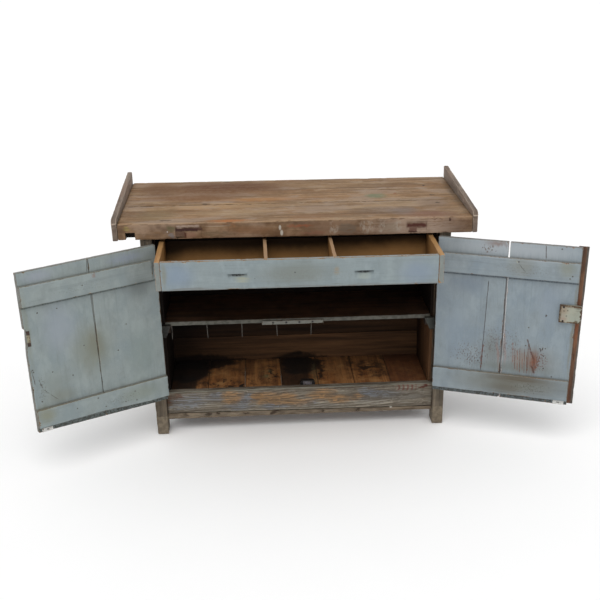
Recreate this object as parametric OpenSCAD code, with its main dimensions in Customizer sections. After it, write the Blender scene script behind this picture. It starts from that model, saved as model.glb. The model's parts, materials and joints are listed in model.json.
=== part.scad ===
// Old painted pine sideboard: a thick plank worktop with raised end boards on a
// narrower cabinet. Two ledged doors swing on butt hinges and one wide drawer with
// three compartments slides between the side panels. It is drawn as photographed,
// doors open and drawer drawn out. Front faces -Y, floor at Z = 0, millimetres.

/* [Worktop] */
// Overall length over both end boards
top_l = 1400; // [1330:5:1500]
// Depth from front edge to back edge
top_d = 672; // [600:2:760]
// Height of the upper surface above the floor
top_h = 893; // [860:1:940]
// Thickness of the planks
top_t = 61; // [50:1:70]
// How far the front edge stands out past the posts
top_overhang = 13; // [4:1:30]
// Width of the front plank
front_plank_w = 269; // [200:1:320]
// Thickness of an end board
end_t = 21; // [16:1:30]
// Height of an end board above the worktop at the back
end_rise_back = 48; // [30:1:80]
// Height of an end board above the worktop at the front
end_rise_front = 20; // [10:1:28]
// Radius of an end board's rounded front corner
end_nose_r = 26; // [12:1:34]
// How far an end board hangs below the planks
end_drop = 3; // [0:1:10]
// Distance of the old notch from the left end board
notch_x = 29; // [10:1:60]
// Width of the old notch in the front edge
notch_w = 36; // [20:1:60]
// Height of the old notch
notch_h = 29; // [10:1:40]
// Depth of the old notch
notch_depth = 40; // [10:1:80]
// Depth of the two old hinge recesses in the front edge
recess_depth = 3; // [1:0.5:6]
// Height of the left hinge recess
recess_left_h = 45; // [20:1:48]
// Width of the left hinge recess
recess_left_w = 99; // [40:1:120]
// Distance of the left recess from the worktop's centre
recess_left_x = 412; // [300:1:500]
// Height of the right hinge recess
recess_right_h = 35; // [20:1:46]
// Width of the right hinge recess
recess_right_w = 79; // [40:1:120]
// Distance of the right recess from the worktop's centre
recess_right_x = 461; // [300:1:520]
// Distance of both recesses below the worktop's surface
recess_drop = 14; // [8:1:16]

/* [Cabinet] */
// Width over the posts
case_w = 1200; // [1120:5:1260]
// Width of a post seen from the front
post_w = 46; // [36:1:56]
// Depth of a front post
post_d = 79; // [60:1:100]
// Depth of a rear post
rear_post_d = 60; // [40:1:80]
// Depth of the inside, from the posts' front to the back boards
case_d = 360; // [352:2:420]
// Thickness of the side panels
panel_t = 18; // [12:1:22]
// Setback of the side panels behind the posts' front
panel_setback = 40; // [38:1:60]
// Thickness of the back boards
back_t = 16; // [10:1:22]
// Width of the ripped fifth back board, the other four share the rest
back_rip = 78; // [50:1:150]
// Height of the lowest back board's lower edge above the floor
back_z = 130; // [100:1:140]
// Open joint between neighbouring boards
board_gap = 1; // [0.5:0.5:2]
// Height of the bottom rail
rail_h = 124; // [90:1:140]
// Thickness of the bottom rail
rail_t = 32; // [20:1:40]
// Setback of the bottom rail behind the posts' front
rail_setback = 20; // [18:1:26]
// Height of the bottom rail's lower edge above the floor
rail_z = 58; // [40:1:90]
// Thickness of the floor boards
floor_t = 18; // [12:1:24]
// Step from the rail's top down to the floor boards
floor_step = 6; // [2:1:20]
// Clearance of the side panels' front corners around the bottom rail
rail_fit = 0.5; // [0.3:0.1:2]
// Side of the square bearers under the floor boards
bearer_s = 30; // [20:1:40]

/* [Shelf] */
// Height of the shelf's upper face above the floor
shelf_h = 480; // [420:1:520]
// Thickness of the shelf
shelf_t = 17; // [12:1:22]
// Length of the stop strip on the shelf's front edge
stop_l = 248; // [100:2:300]
// Height of the stop strip
stop_h = 16; // [10:1:17]
// Thickness of the stop strip
stop_t = 8; // [5:1:10]
// Distance of the stop strip's middle from the cabinet's centre
stop_x = -25; // [-60:1:60]
// Width of a shelf bracket
bracket_w = 42; // [30:1:60]
// Height of a shelf bracket
bracket_h = 52; // [30:1:70]
// Thickness of a shelf bracket
bracket_t = 18; // [12:1:19]
// Width of a bracket's tapered foot
bracket_foot = 20; // [10:1:30]
// Height of the straight part above a bracket's taper
bracket_lip = 6; // [2:1:12]
// How far a bracket rises past the shelf's underside
bracket_lift = 8; // [0:1:12]
// Height of the cleats under the shelf
cleat_h = 30; // [20:1:40]
// Thickness of the cleats and the drawer's runners
cleat_t = 20; // [12:1:26]
// Length of the wire nails that hang under the shelf
wire_l = 60; // [30:1:80]
// Radius of the wire nails
wire_r = 1.6; // [1:0.1:3]
// Spacing of the wire nails
wire_pitch = 140; // [120:1:150]
// Distance of the first wire nail from the left side panel
wire_first = 26; // [22:1:60]
// Setback of the wire nails behind the shelf's front edge
wire_setback = 5; // [3:1:20]
// Radius of the clout nails' heads in the stop strip
clout_r = 3; // [2:0.5:4]
// Height of the clout nails' heads
clout_h = 1; // [0.5:0.5:2]
// Spacing of the clout nails
clout_pitch = 53; // [20:1:60]
// Step of the stop strip below the shelf's upper face
stop_step = 6; // [0:1:10]

/* [Drawer] */
// Height of the drawer
drawer_h = 109; // [90:1:120]
// Gap between the drawer and the worktop
drawer_top_gap = 10; // [5:1:20]
// Gap between the drawer and a side panel
drawer_side_gap = 8; // [3:1:12]
// Length of the drawer from front to back
drawer_l = 320; // [312:1:322]
// How far the drawer stands out past the posts
drawer_out = 267; // [150:1:274]
// Thickness of the drawer's front
drawer_front_t = 18; // [14:1:24]
// Thickness of the drawer's sides
drawer_side_t = 20; // [12:1:24]
// Thickness of the drawer's back
drawer_back_t = 14; // [10:1:20]
// Step of the drawer's back below its sides
drawer_back_step = 12; // [4:1:25]
// Thickness of the drawer's bottom
drawer_bottom_t = 8; // [5:1:12]
// Height of the drawer's bottom above its lower edge
drawer_bottom_z = 3; // [1:1:8]
// Thickness of the two dividers
divider_t = 14; // [8:1:20]
// Distance of each divider's middle from the drawer's middle
divider_x = 126; // [80:1:220]
// Step of the dividers below the drawer's sides
divider_step = 1.5; // [1:0.5:20]
// Radius of a finger grip's half round
grip_r = 36; // [25:1:40]
// Depth of a finger grip under its straight edge
grip_depth = 11; // [5:1:13]
// Distance of each finger grip's middle from the drawer's middle
grip_x = 231; // [180:1:400]
// Height of the finger grips' straight edge above the drawer's lower edge
grip_z = 58; // [45:1:80]
// Height of the drawer's runners
runner_h = 20; // [12:1:30]
// Setback of the runners' front ends, which clears the battens of shut doors
runner_setback = 33; // [32:1:36]
// Gap that lets the drawer slide on its runners
slide_gap = 0.4; // [0.3:0.1:1]

/* [Doors] */
// Angle of the left door as photographed
left_open = 147.5; // [126:0.5:170]
// Angle of the right door as photographed
right_open = 158.5; // [126:0.5:170]
// Thickness of the door boards
door_t = 18; // [14:1:22]
// Gap above the doors, under the worktop
door_top_gap = 11; // [4:1:20]
// Lap of the doors' feet over the front of the bottom rail
door_foot_lap = 9; // [0:0.5:14]
// Gap between the two doors when shut
meet_gap = 3; // [2:0.5:6]
// Width of the open joint between the right door's boards
right_slit = 6; // [2:0.5:8]
// Width of the joint between the left door's boards
left_slit = 1; // [0.5:0.5:2]
// Width of an upper batten
batten_w = 78; // [60:1:90]
// Thickness of a batten
batten_t = 14; // [10:1:16]
// Distance of the upper batten below the door's top
batten_top_drop = 58; // [40:1:80]
// Distance of the lower batten above the door's foot
batten_foot_rise = 20; // [20:1:40]
// Width of a lower batten
lower_batten_w = 88; // [70:1:100]
// Setback of the upper batten from the door's hinged edge, which clears the drawer
batten_setback = 26; // [20:1:40]
// Width of the cover strip along the right door's free edge
cover_w = 40; // [30:1:60]
// Thickness of the cover strip
cover_t = 10; // [6:1:14]
// How far the cover strip stands out past the door's edge
cover_lap = 22; // [10:1:26]
// Depth of the worn cut in the left door's free edge
wear_w = 8; // [3:1:12]
// Height of the worn cut
wear_h = 103; // [80:1:130]
// Height of the worn cut's upper end above the floor
wear_z = 601; // [560:1:640]

/* [Door fittings] */
// Radius of a hinge pin
pin_r = 1.5; // [1:0.1:2]
// Radius of a hinge pin's head
pin_head_r = 2.6; // [2:0.1:3.4]
// Height of a hinge pin's head
pin_head_h = 1.5; // [1:0.5:3]
// Running clearance between a hinge pin and its knuckles
pin_clear = 0.05; // [0.03:0.01:0.1]
// Outer radius of a hinge knuckle
knuckle_r = 4; // [3.5:0.1:4.2]
// Gap between a knuckle and the plane of the shut doors
knuckle_off = 0.5; // [0.4:0.1:1.5]
// Length of one hinge knuckle
knuckle_l = 22; // [16:1:28]
// Gap between hinge knuckles
knuckle_gap = 0.4; // [0.3:0.1:0.8]
// Thickness of a hinge leaf
leaf_t = 1.2; // [1:0.1:1.6]
// Gap between the two leaves of a shut hinge
leaf_gap = 0.2; // [0.2:0.1:0.6]
// Depth of a hinge leaf behind its pin
leaf_d = 20; // [14:1:24]
// Distance of a hinge's middle from the top or foot of its door
hinge_inset = 150; // [120:1:180]
// Width of the lock case
lock_w = 84; // [70:1:95]
// Height of the lock case
lock_h = 71; // [66:1:90]
// Thickness of the lock case
lock_t = 14; // [11:1:18]
// How far the lock case reaches past the door's free edge
lock_reach = 20; // [4:1:21]
// Height of the lock's middle above the floor
lock_z = 560; // [500:1:600]
// Width of the lock's bolt
bolt_w = 20; // [12:1:30]
// Thickness of the lock's bolt
bolt_t = 6; // [4:0.5:7]
// Length of the lock's bolt
bolt_l = 50; // [30:1:60]
// Play around the lock's bolt
bolt_clear = 0.4; // [0.3:0.1:0.6]
// How far the bolt's nose shows when it is drawn back
bolt_nose = 2; // [1:0.5:4]
// Distance of the lock's screws from the case's inner end
screw_x = 16; // [8:1:24]
// Distance of the lock's screws above and below its middle
screw_z = 28; // [20:1:29]
// Radius of the screw heads
screw_r = 4; // [3:0.5:5]
// Height of the screw heads
screw_h = 1.5; // [1:0.5:2.5]
// Height of the keep plate's middle above the floor
keep_z = 564; // [545:1:570]
// Width of the keep plate on the left door
keep_w = 14; // [10:1:20]
// Height of the keep plate
keep_h = 60; // [40:1:80]
// Thickness of the keep plate and the catch plates
plate_t = 1.5; // [1:0.5:3]
// Width of a catch plate at a door's foot
catch_plate_w = 44; // [30:1:60]
// Height of a catch plate
catch_plate_h = 16; // [8:1:16]
// Gap between a catch plate and the lower batten
catch_plate_gap = 4; // [1:0.5:4]
// Distance of a catch plate's outer end from the door's free edge
catch_plate_x = 12; // [5:1:40]
// Width of the catch behind the bottom rail
catch_w = 62; // [40:1:80]
// Depth of the catch
catch_d = 22; // [15:1:30]
// Height of the catch
catch_h = 29; // [18:1:35]
// Radius of the catch's rounded shoulders
catch_r = 14; // [6:1:18]
// Width of the catch's metal strike
strike_w = 35; // [20:1:38]
// Height of the strike
strike_h = 23; // [10:1:30]
// Thickness of the strike
strike_t = 2; // [1:0.5:4]
// Distance of the catch's middle from the cabinet's centre
catch_x = 31; // [-60:1:80]

/* [Hidden] */
$fn = 48;
bite = 1;
// Heights and inner sizes that follow from the values above
underside = top_h - top_t;
back_w = (underside - back_z - back_rip) / 4;
top_front = -top_overhang;
plank_l = top_l - 2 * end_t;
opening_half = case_w / 2 - post_w;
inner_half = opening_half - panel_t;
rail_top = rail_z + rail_h;
floor_z = rail_top - floor_step;
shelf_z = shelf_h - shelf_t;
drawer_half = inner_half - drawer_side_gap;
drawer_z = underside - drawer_top_gap - drawer_h;
door_top = underside - door_top_gap;
door_foot = rail_top - door_foot_lap;
pivot_x = opening_half - leaf_t - leaf_gap / 2;
pivot_y = -knuckle_r - knuckle_off;
door_s0 = leaf_t + leaf_gap / 2;
door_s1 = pivot_x - meet_gap / 2;
door_f = -pivot_y;
door_in = door_f + door_t;
door_joint = (door_s0 + door_s1) / 2;
wire_count = 5;
floor_boards = 7;
hinge_l = 3 * knuckle_l + 2 * knuckle_gap;
hinge_zs = [door_foot + hinge_inset - hinge_l / 2, door_top - hinge_inset - hinge_l / 2];
brown = "#7a6448";
pine = "#b08a5c";
paint = "#8f9b9c";
dark = "#4c4034";
steel = "#8a8178";
// Middle of the whole outline as it stands open, which is the origin
left_tip_x = -pivot_x + door_s1 * cos(left_open) + door_f * sin(left_open);
right_tip_x = pivot_x - (door_s1 + cover_lap) * cos(right_open)
    - (door_f - cover_t) * sin(right_open);
left_tip_y = pivot_y - door_s1 * sin(left_open) + (door_in + batten_t) * cos(left_open);
origin_x = (left_tip_x + right_tip_x) / 2;
origin_y = (min(left_tip_y, -drawer_out) + top_front + top_d) / 2;

// Puts a piece drawn in the cabinet's own frame into the part's frame
module placed() {
    translate([-origin_x, -origin_y, 0]) children();
}

// A plain board between two opposite corners
module board(a, b) {
    translate(a) cube([b[0] - a[0], b[1] - a[1], b[2] - a[2]]);
}

// The doors' own frame: X along the door from its pin, Y through it to the inner face
module on_left_door() {
    placed() translate([-pivot_x, pivot_y, 0]) rotate([0, 0, -left_open]) children();
}

module on_right_door() {
    placed() translate([pivot_x, pivot_y, 0]) rotate([0, 0, right_open]) mirror([1, 0, 0]) children();
}

// Worktop

module hinge_recess(x, w, h) {
    translate([x - w / 2, top_front - bite, top_h - recess_drop - h]) cube([w, recess_depth + bite, h]);
}

module worktop_front_plank() {
    color(brown) placed() difference() {
        board([-plank_l / 2, top_front, underside],
              [plank_l / 2, top_front + front_plank_w - board_gap, top_h]);
        translate([-plank_l / 2 + notch_x, top_front - bite, underside - bite])
            cube([notch_w, notch_depth + bite, notch_h + bite]);
        hinge_recess(-recess_left_x, recess_left_w, recess_left_h);
        hinge_recess(recess_right_x, recess_right_w, recess_right_h);
    }
}

module worktop_rear_plank() {
    color(brown) placed() board([-plank_l / 2, top_front + front_plank_w, underside],
        [plank_l / 2, top_front + top_d, top_h]);
}

// Side outline of an end board, with its front corner rounded over
function end_outline() = concat(
    [[top_front, underside - end_drop], [top_front + top_d, underside - end_drop],
     [top_front + top_d, top_h + end_rise_back]],
    [for (i = [0 : 8]) let (a = 90 + i * 90 / 8)
        [top_front + end_nose_r * (1 + cos(a)), top_h + end_rise_front - end_nose_r * (1 - sin(a))]]
);

module end_board(x) {
    color(brown) placed() translate([x, 0, 0])
        rotate([90, 0, 90]) linear_extrude(end_t) polygon(end_outline());
}

module end_board_left() {
    end_board(-top_l / 2);
}

module end_board_right() {
    end_board(top_l / 2 - end_t);
}

// Cabinet

module post(x, y, d) {
    color(dark) placed() board([x, y, 0], [x + post_w, y + d, underside]);
}

module post_front_left() {
    post(-case_w / 2, 0, post_d);
}

module post_front_right() {
    post(opening_half, 0, post_d);
}

module post_rear_left() {
    post(-case_w / 2, case_d - rear_post_d, rear_post_d);
}

module post_rear_right() {
    post(opening_half, case_d - rear_post_d, rear_post_d);
}

module bottom_rail() {
    color(paint) placed()
        board([-opening_half, rail_setback, rail_z], [opening_half, rail_setback + rail_t, rail_top]);
}

// A side panel is nailed to the inner faces of its two posts, behind the rail
module side_panel(x) {
    color(brown) placed() difference() {
        board([x, panel_setback, rail_z], [x + panel_t, case_d, underside]);
        board([x - bite, panel_setback - bite, rail_z - bite],
              [x + panel_t + bite, rail_setback + rail_t, rail_top + rail_fit]);
    }
}

module side_panel_left() {
    side_panel(-opening_half);
}

module side_panel_right() {
    side_panel(inner_half);
}

module back_board(i) {
    z = back_z + i * back_w;
    color(dark) placed() board([-case_w / 2, case_d, z],
        [case_w / 2, case_d + back_t, i < 4 ? z + back_w - board_gap : underside]);
}

module back_board_1() {
    back_board(0);
}

module back_board_2() {
    back_board(1);
}

module back_board_3() {
    back_board(2);
}

module back_board_4() {
    back_board(3);
}

module back_board_5() {
    back_board(4);
}

module floor_board(i) {
    step = 2 * inner_half / floor_boards;
    x = -inner_half + i * step;
    color(pine) placed() board([x + (i > 0 ? board_gap : 0), rail_setback + rail_t, floor_z - floor_t],
        [x + step, case_d, floor_z]);
}

module floor_board_1() {
    floor_board(0);
}

module floor_board_2() {
    floor_board(1);
}

module floor_board_3() {
    floor_board(2);
}

module floor_board_4() {
    floor_board(3);
}

module floor_board_5() {
    floor_board(4);
}

module floor_board_6() {
    floor_board(5);
}

module floor_board_7() {
    floor_board(6);
}

// Two bearers under the floor: one on the rail, one on the rear boards
module floor_bearers() {
    z = floor_z - floor_t - bearer_s;
    color(dark) placed() {
        board([-inner_half, rail_setback + rail_t, z],
              [inner_half, rail_setback + rail_t + bearer_s, z + bearer_s]);
        board([-inner_half, case_d - bearer_s, z], [inner_half, case_d, z + bearer_s]);
    }
}

// Shelf

module shelf() {
    color(pine) placed() board([-inner_half, panel_setback, shelf_z], [inner_half, case_d, shelf_h]);
}

module shelf_cleats() {
    color(dark) placed() for (x = [-inner_half, inner_half - cleat_t])
        board([x, panel_setback, shelf_z - cleat_h], [x + cleat_t, case_d, shelf_z]);
}

module shelf_stop() {
    z = shelf_h - stop_step;
    color(paint) placed() board([stop_x - stop_l / 2, panel_setback - stop_t, z - stop_h],
        [stop_x + stop_l / 2, panel_setback, z]);
}

// Four clout nails through the stop strip, seen as round heads
module shelf_stop_nails() {
    color(dark) placed() for (i = [-1.5 : 1 : 1.5])
        translate([stop_x + i * clout_pitch, panel_setback - stop_t, shelf_h - stop_step - stop_h / 2])
            rotate([90, 0, 0]) cylinder(h = clout_h, r = clout_r);
}

// Five thin wire nails that hang under the shelf's front edge
module shelf_wire_nails() {
    color(steel) placed() for (i = [0 : wire_count - 1]) translate([
        -inner_half + wire_first + i * wire_pitch, panel_setback + wire_setback, shelf_z - wire_l])
            cylinder(h = wire_l, r = wire_r, $fn = 16);
}

// A bracket screwed to a post's inner side, tapered at its foot
module shelf_bracket(flip) {
    z = shelf_z + bracket_lift;
    color(paint) placed() mirror([flip, 0, 0])
        translate([0, panel_setback, 0]) rotate([90, 0, 0]) linear_extrude(bracket_t) polygon([
            [opening_half, z], [opening_half - bracket_w, z],
            [opening_half - bracket_w, z - bracket_lip],
            [opening_half - bracket_foot, z - bracket_h], [opening_half, z - bracket_h]]);
}

module shelf_bracket_left() {
    shelf_bracket(1);
}

module shelf_bracket_right() {
    shelf_bracket(0);
}

// Runners under the drawer's sides and kickers above them, nailed to the side panels

module drawer_runners() {
    low = drawer_z - slide_gap;
    high = drawer_z + drawer_h + slide_gap;
    color(dark) placed() for (x = [-inner_half, inner_half - cleat_t]) {
        board([x, runner_setback, low - runner_h], [x + cleat_t, case_d, low]);
        board([x, runner_setback, high], [x + cleat_t, case_d, underside]);
    }
}

// Front outline of the catch: a low block with rounded shoulders
function catch_outline() = concat(
    [[-catch_w / 2, 0], [catch_w / 2, 0]],
    [for (i = [0 : 6]) let (a = i * 90 / 6)
        [catch_w / 2 - catch_r + catch_r * cos(a), catch_h - catch_r + catch_r * sin(a)]],
    [for (i = [0 : 6]) let (a = 90 + i * 90 / 6)
        [-catch_w / 2 + catch_r + catch_r * cos(a), catch_h - catch_r + catch_r * sin(a)]]
);

// The catch stands on the floor boards behind the bottom rail, its strike against the rail
module catch() {
    color(dark) placed() translate([catch_x, rail_setback + rail_t + strike_t + catch_d, floor_z])
        rotate([90, 0, 0]) linear_extrude(catch_d) polygon(catch_outline());
}

module catch_strike() {
    color(steel) placed() board([catch_x - strike_w / 2, rail_setback + rail_t, floor_z],
        [catch_x + strike_w / 2, rail_setback + rail_t + strike_t, floor_z + strike_h]);
}

// Drawer

module drawer_front() {
    half = drawer_half - drawer_side_t;
    color(paint) placed() difference() {
        board([-half, -drawer_out, drawer_z], [half, -drawer_out + drawer_front_t, drawer_z + drawer_h]);
        finger_grip(-grip_x);
        finger_grip(grip_x);
    }
}

// A half round scooped under a straight edge, deepest at the edge
module finger_grip(x) {
    translate([x, -drawer_out, drawer_z + grip_z]) intersection() {
        translate([0, -bite, 0]) rotate([-90, 0, 0]) cylinder(h = grip_depth + 2 * bite, r = grip_r);
        rotate([90, 0, 90]) linear_extrude(2 * grip_r, center = true)
            polygon([[-bite, 0], [grip_depth, 0], [0, -grip_r], [-bite, -grip_r]]);
    }
}

module drawer_side(x) {
    color(pine) placed() board([x, -drawer_out, drawer_z],
        [x + drawer_side_t, -drawer_out + drawer_l, drawer_z + drawer_h]);
}

module drawer_side_left() {
    drawer_side(-drawer_half);
}

module drawer_side_right() {
    drawer_side(drawer_half - drawer_side_t);
}

module drawer_back() {
    half = drawer_half - drawer_side_t;
    y = -drawer_out + drawer_l;
    color(pine) placed() board([-half, y - drawer_back_t, drawer_z],
        [half, y, drawer_z + drawer_h - drawer_back_step]);
}

module drawer_bottom() {
    half = drawer_half - drawer_side_t;
    color(pine) placed() board([-half, -drawer_out + drawer_front_t, drawer_z + drawer_bottom_z],
        [half, -drawer_out + drawer_l - drawer_back_t, drawer_z + drawer_bottom_z + drawer_bottom_t]);
}

module drawer_divider(x) {
    color(pine) placed() board(
        [x - divider_t / 2, -drawer_out + drawer_front_t, drawer_z + drawer_bottom_z + drawer_bottom_t],
        [x + divider_t / 2, -drawer_out + drawer_l - drawer_back_t, drawer_z + drawer_h - divider_step]);
}

module drawer_divider_left() {
    drawer_divider(-divider_x);
}

module drawer_divider_right() {
    drawer_divider(divider_x);
}

// Doors, each drawn in its own frame

module door_board(s0, s1) {
    board([s0, door_f, door_foot], [s1, door_in, door_top]);
}

module upper_batten() {
    z = door_top - batten_top_drop - batten_w;
    board([batten_setback, door_in, z], [door_s1, door_in + batten_t, z + batten_w]);
}

module lower_batten() {
    z = door_foot + batten_foot_rise;
    board([door_s0, door_in, z], [door_s1, door_in + batten_t, z + lower_batten_w]);
}

module catch_plate() {
    s = door_s1 - catch_plate_x - catch_plate_w;
    z = door_foot + batten_foot_rise - catch_plate_gap - catch_plate_h;
    board([s, door_in, z], [s + catch_plate_w, door_in + plate_t, z + catch_plate_h]);
}

module left_door_hinge_board() {
    color(paint) on_left_door() door_board(door_s0, door_joint - left_slit / 2);
}

// The free edge is worn away in a wedge beside the keep plate
module left_door_free_board() {
    color(paint) on_left_door() difference() {
        door_board(door_joint + left_slit / 2, door_s1);
        translate([0, door_in + bite, 0]) rotate([90, 0, 0]) linear_extrude(door_t + 2 * bite) polygon([
            [door_s1 + bite, wear_z + bite], [door_s1 - wear_w, wear_z],
            [door_s1, wear_z - wear_h], [door_s1 + bite, wear_z - wear_h]]);
    }
}

module left_door_upper_batten() {
    color(paint) on_left_door() upper_batten();
}

module left_door_lower_batten() {
    color(paint) on_left_door() lower_batten();
}

module left_door_keep() {
    s = door_s1 - wear_w - keep_w;
    color(steel) on_left_door() board([s, door_in, keep_z - keep_h / 2],
        [s + keep_w, door_in + plate_t, keep_z + keep_h / 2]);
}

module left_door_catch_plate() {
    color(steel) on_left_door() catch_plate();
}

module right_door_hinge_board() {
    color(paint) on_right_door() door_board(door_s0, door_joint - right_slit / 2);
}

module right_door_free_board() {
    color(paint) on_right_door() door_board(door_joint + right_slit / 2, door_s1);
}

module right_door_upper_batten() {
    color(paint) on_right_door() upper_batten();
}

module right_door_lower_batten() {
    color(paint) on_right_door() lower_batten();
}

// The strip on the right door's outer face covers the gap between the shut doors
module right_door_cover_strip() {
    s = door_s1 + cover_lap;
    color(brown) on_right_door()
        board([s - cover_w, door_f - cover_t, door_foot], [s, door_f, door_top]);
}

module right_door_catch_plate() {
    color(steel) on_right_door() catch_plate();
}

// Lock: a flat case on the inner face with a bolt that slides out past the edge

module lock_channel(play) {
    s = door_s1 + lock_reach;
    t = door_in + (lock_t - bolt_t) / 2;
    translate([s - bolt_l, t - play, lock_z - bolt_w / 2 - play])
        cube([bolt_l, bolt_t + 2 * play, bolt_w + 2 * play]);
}

module lock_case() {
    s = door_s1 + lock_reach;
    color(steel) on_right_door() difference() {
        board([s - lock_w, door_in, lock_z - lock_h / 2], [s, door_in + lock_t, lock_z + lock_h / 2]);
        lock_channel(bolt_clear);
        translate([bite, 0, 0]) lock_channel(bolt_clear);
    }
}

module lock_bolt() {
    color(steel) on_right_door() translate([bolt_nose, 0, 0]) lock_channel(0);
}

module lock_screws() {
    s = door_s1 + lock_reach - lock_w + screw_x;
    color(dark) on_right_door() for (side = [-1, 1])
        translate([s, door_in + lock_t, lock_z + side * screw_z])
            rotate([-90, 0, 0]) cylinder(h = screw_h, r = screw_r);
}

// Butt hinges: two outer knuckles on the post's leaf, one on the door's leaf

module knuckle_cut(z0, z1) {
    translate([0, 0, z0]) cylinder(h = z1 - z0, r = knuckle_r + knuckle_gap);
}

module post_leaf() {
    difference() {
        union() {
            translate([-door_s0, 0, 0]) cube([leaf_t, leaf_d, hinge_l]);
            cylinder(h = knuckle_l, r = knuckle_r);
            translate([0, 0, hinge_l - knuckle_l]) cylinder(h = knuckle_l, r = knuckle_r);
        }
        knuckle_cut(knuckle_l, hinge_l - knuckle_l);
        translate([0, 0, -bite]) cylinder(h = hinge_l + 2 * bite, r = pin_r + pin_clear);
    }
}

module door_leaf() {
    difference() {
        union() {
            translate([leaf_gap / 2, 0, 0]) cube([leaf_t, leaf_d, hinge_l]);
            translate([0, 0, knuckle_l + knuckle_gap]) cylinder(h = knuckle_l, r = knuckle_r);
        }
        knuckle_cut(-bite, knuckle_l + knuckle_gap);
        knuckle_cut(hinge_l - knuckle_l - knuckle_gap, hinge_l + bite);
        translate([0, 0, -bite]) cylinder(h = hinge_l + 2 * bite, r = pin_r + pin_clear);
    }
}

module on_both_posts() {
    placed() {
        translate([-pivot_x, pivot_y, 0]) children();
        translate([pivot_x, pivot_y, 0]) mirror([1, 0, 0]) children();
    }
}

module hinge_post_leaves() {
    color(steel) on_both_posts() for (z = hinge_zs) translate([0, 0, z]) post_leaf();
}

// A pin is headed over at both ends
module hinge_pins() {
    color(steel) on_both_posts() for (z = hinge_zs) translate([0, 0, z]) {
        translate([0, 0, -pin_head_h]) cylinder(h = hinge_l + 2 * pin_head_h, r = pin_r);
        translate([0, 0, -pin_head_h]) cylinder(h = pin_head_h, r = pin_head_r);
        translate([0, 0, hinge_l]) cylinder(h = pin_head_h, r = pin_head_r);
    }
}

module left_door_hinge_leaves() {
    color(steel) on_left_door() for (z = hinge_zs) translate([0, 0, z]) door_leaf();
}

module right_door_hinge_leaves() {
    color(steel) on_right_door() for (z = hinge_zs) translate([0, 0, z]) door_leaf();
}

worktop_front_plank();
worktop_rear_plank();
end_board_left();
end_board_right();
post_front_left();
post_front_right();
post_rear_left();
post_rear_right();
bottom_rail();
side_panel_left();
side_panel_right();
back_board_1();
back_board_2();
back_board_3();
back_board_4();
back_board_5();
floor_board_1();
floor_board_2();
floor_board_3();
floor_board_4();
floor_board_5();
floor_board_6();
floor_board_7();
floor_bearers();
shelf();
shelf_cleats();
shelf_stop();
shelf_stop_nails();
shelf_wire_nails();
shelf_bracket_left();
shelf_bracket_right();
drawer_runners();
catch();
catch_strike();
hinge_post_leaves();
hinge_pins();
drawer_front();
drawer_side_left();
drawer_side_right();
drawer_back();
drawer_bottom();
drawer_divider_left();
drawer_divider_right();
left_door_hinge_board();
left_door_free_board();
left_door_upper_batten();
left_door_lower_batten();
left_door_hinge_leaves();
left_door_keep();
left_door_catch_plate();
right_door_hinge_board();
right_door_free_board();
right_door_upper_batten();
right_door_lower_batten();
right_door_hinge_leaves();
right_door_cover_strip();
right_door_catch_plate();
lock_case();
lock_screws();
lock_bolt();
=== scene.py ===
# %% [markdown]
# # An old painted sideboard
# The imported model gives every board its place. This script puts a worn skin on each of them: rounded and
# chipped edges, old paint, bare wood and rust.

# %% Load the model
import json
import math
import bpy
import numpy as np
from mathutils import Matrix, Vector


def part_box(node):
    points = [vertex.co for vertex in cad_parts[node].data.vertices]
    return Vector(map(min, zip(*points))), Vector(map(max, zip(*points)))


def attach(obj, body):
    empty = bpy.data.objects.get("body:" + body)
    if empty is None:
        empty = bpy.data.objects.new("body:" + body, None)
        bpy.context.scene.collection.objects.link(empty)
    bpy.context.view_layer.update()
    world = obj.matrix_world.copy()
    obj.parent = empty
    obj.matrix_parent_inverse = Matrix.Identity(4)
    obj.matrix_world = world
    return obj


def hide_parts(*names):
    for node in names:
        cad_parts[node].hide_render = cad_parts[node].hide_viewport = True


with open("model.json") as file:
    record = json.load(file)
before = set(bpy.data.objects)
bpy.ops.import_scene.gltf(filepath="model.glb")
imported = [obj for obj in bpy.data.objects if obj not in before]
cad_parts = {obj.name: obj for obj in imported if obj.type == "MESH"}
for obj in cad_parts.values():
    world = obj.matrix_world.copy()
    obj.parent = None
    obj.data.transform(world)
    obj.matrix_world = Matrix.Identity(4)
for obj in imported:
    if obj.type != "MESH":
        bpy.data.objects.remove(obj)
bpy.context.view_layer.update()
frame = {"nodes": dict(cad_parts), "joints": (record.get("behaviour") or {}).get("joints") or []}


# %% [markdown]
# ## Three workshops
# A door is easiest to make lying flat, and the cabinet is easiest to make from its own middle. So each
# piece is drawn in millimetres in the frame of the member that it belongs to, and a placing function takes
# it to its place in metres. A door's frame has X along the door from its pin, Y through it to the inner
# face and Z up. The joints give the pins, and the boxes of two nodes give the cabinet's middle.

# %% Placing functions
MM = 0.001
rail_low, rail_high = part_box("bottom_rail")
MIDDLE = np.array([(rail_low.x + rail_high.x) / 2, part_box("post_front_left")[0].y, 0.0])
OPEN = {"left": 147.5, "right": 158.5}
# Worktop: underside, upper side, front, joint of the planks. Cabinet: half width between the posts and
# between the panels, depth, upper side of the floor. Rail: height of its seam and how it falls.
UNDER, TOP_Z, FRONT_Y, TOP_JOINT = 832.0, 893.0, -13.0, 255.5
INNER, CLEAR, DEEP, FLOOR_Z = 554, 536, 360, 176
SEAM_Z, SEAM_FALL = 81, 0.0092


def in_cabinet(points):
    """Millimetres from the cabinet's middle on the floor, at the posts' front, to metres."""
    return points * MM + MIDDLE


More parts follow.
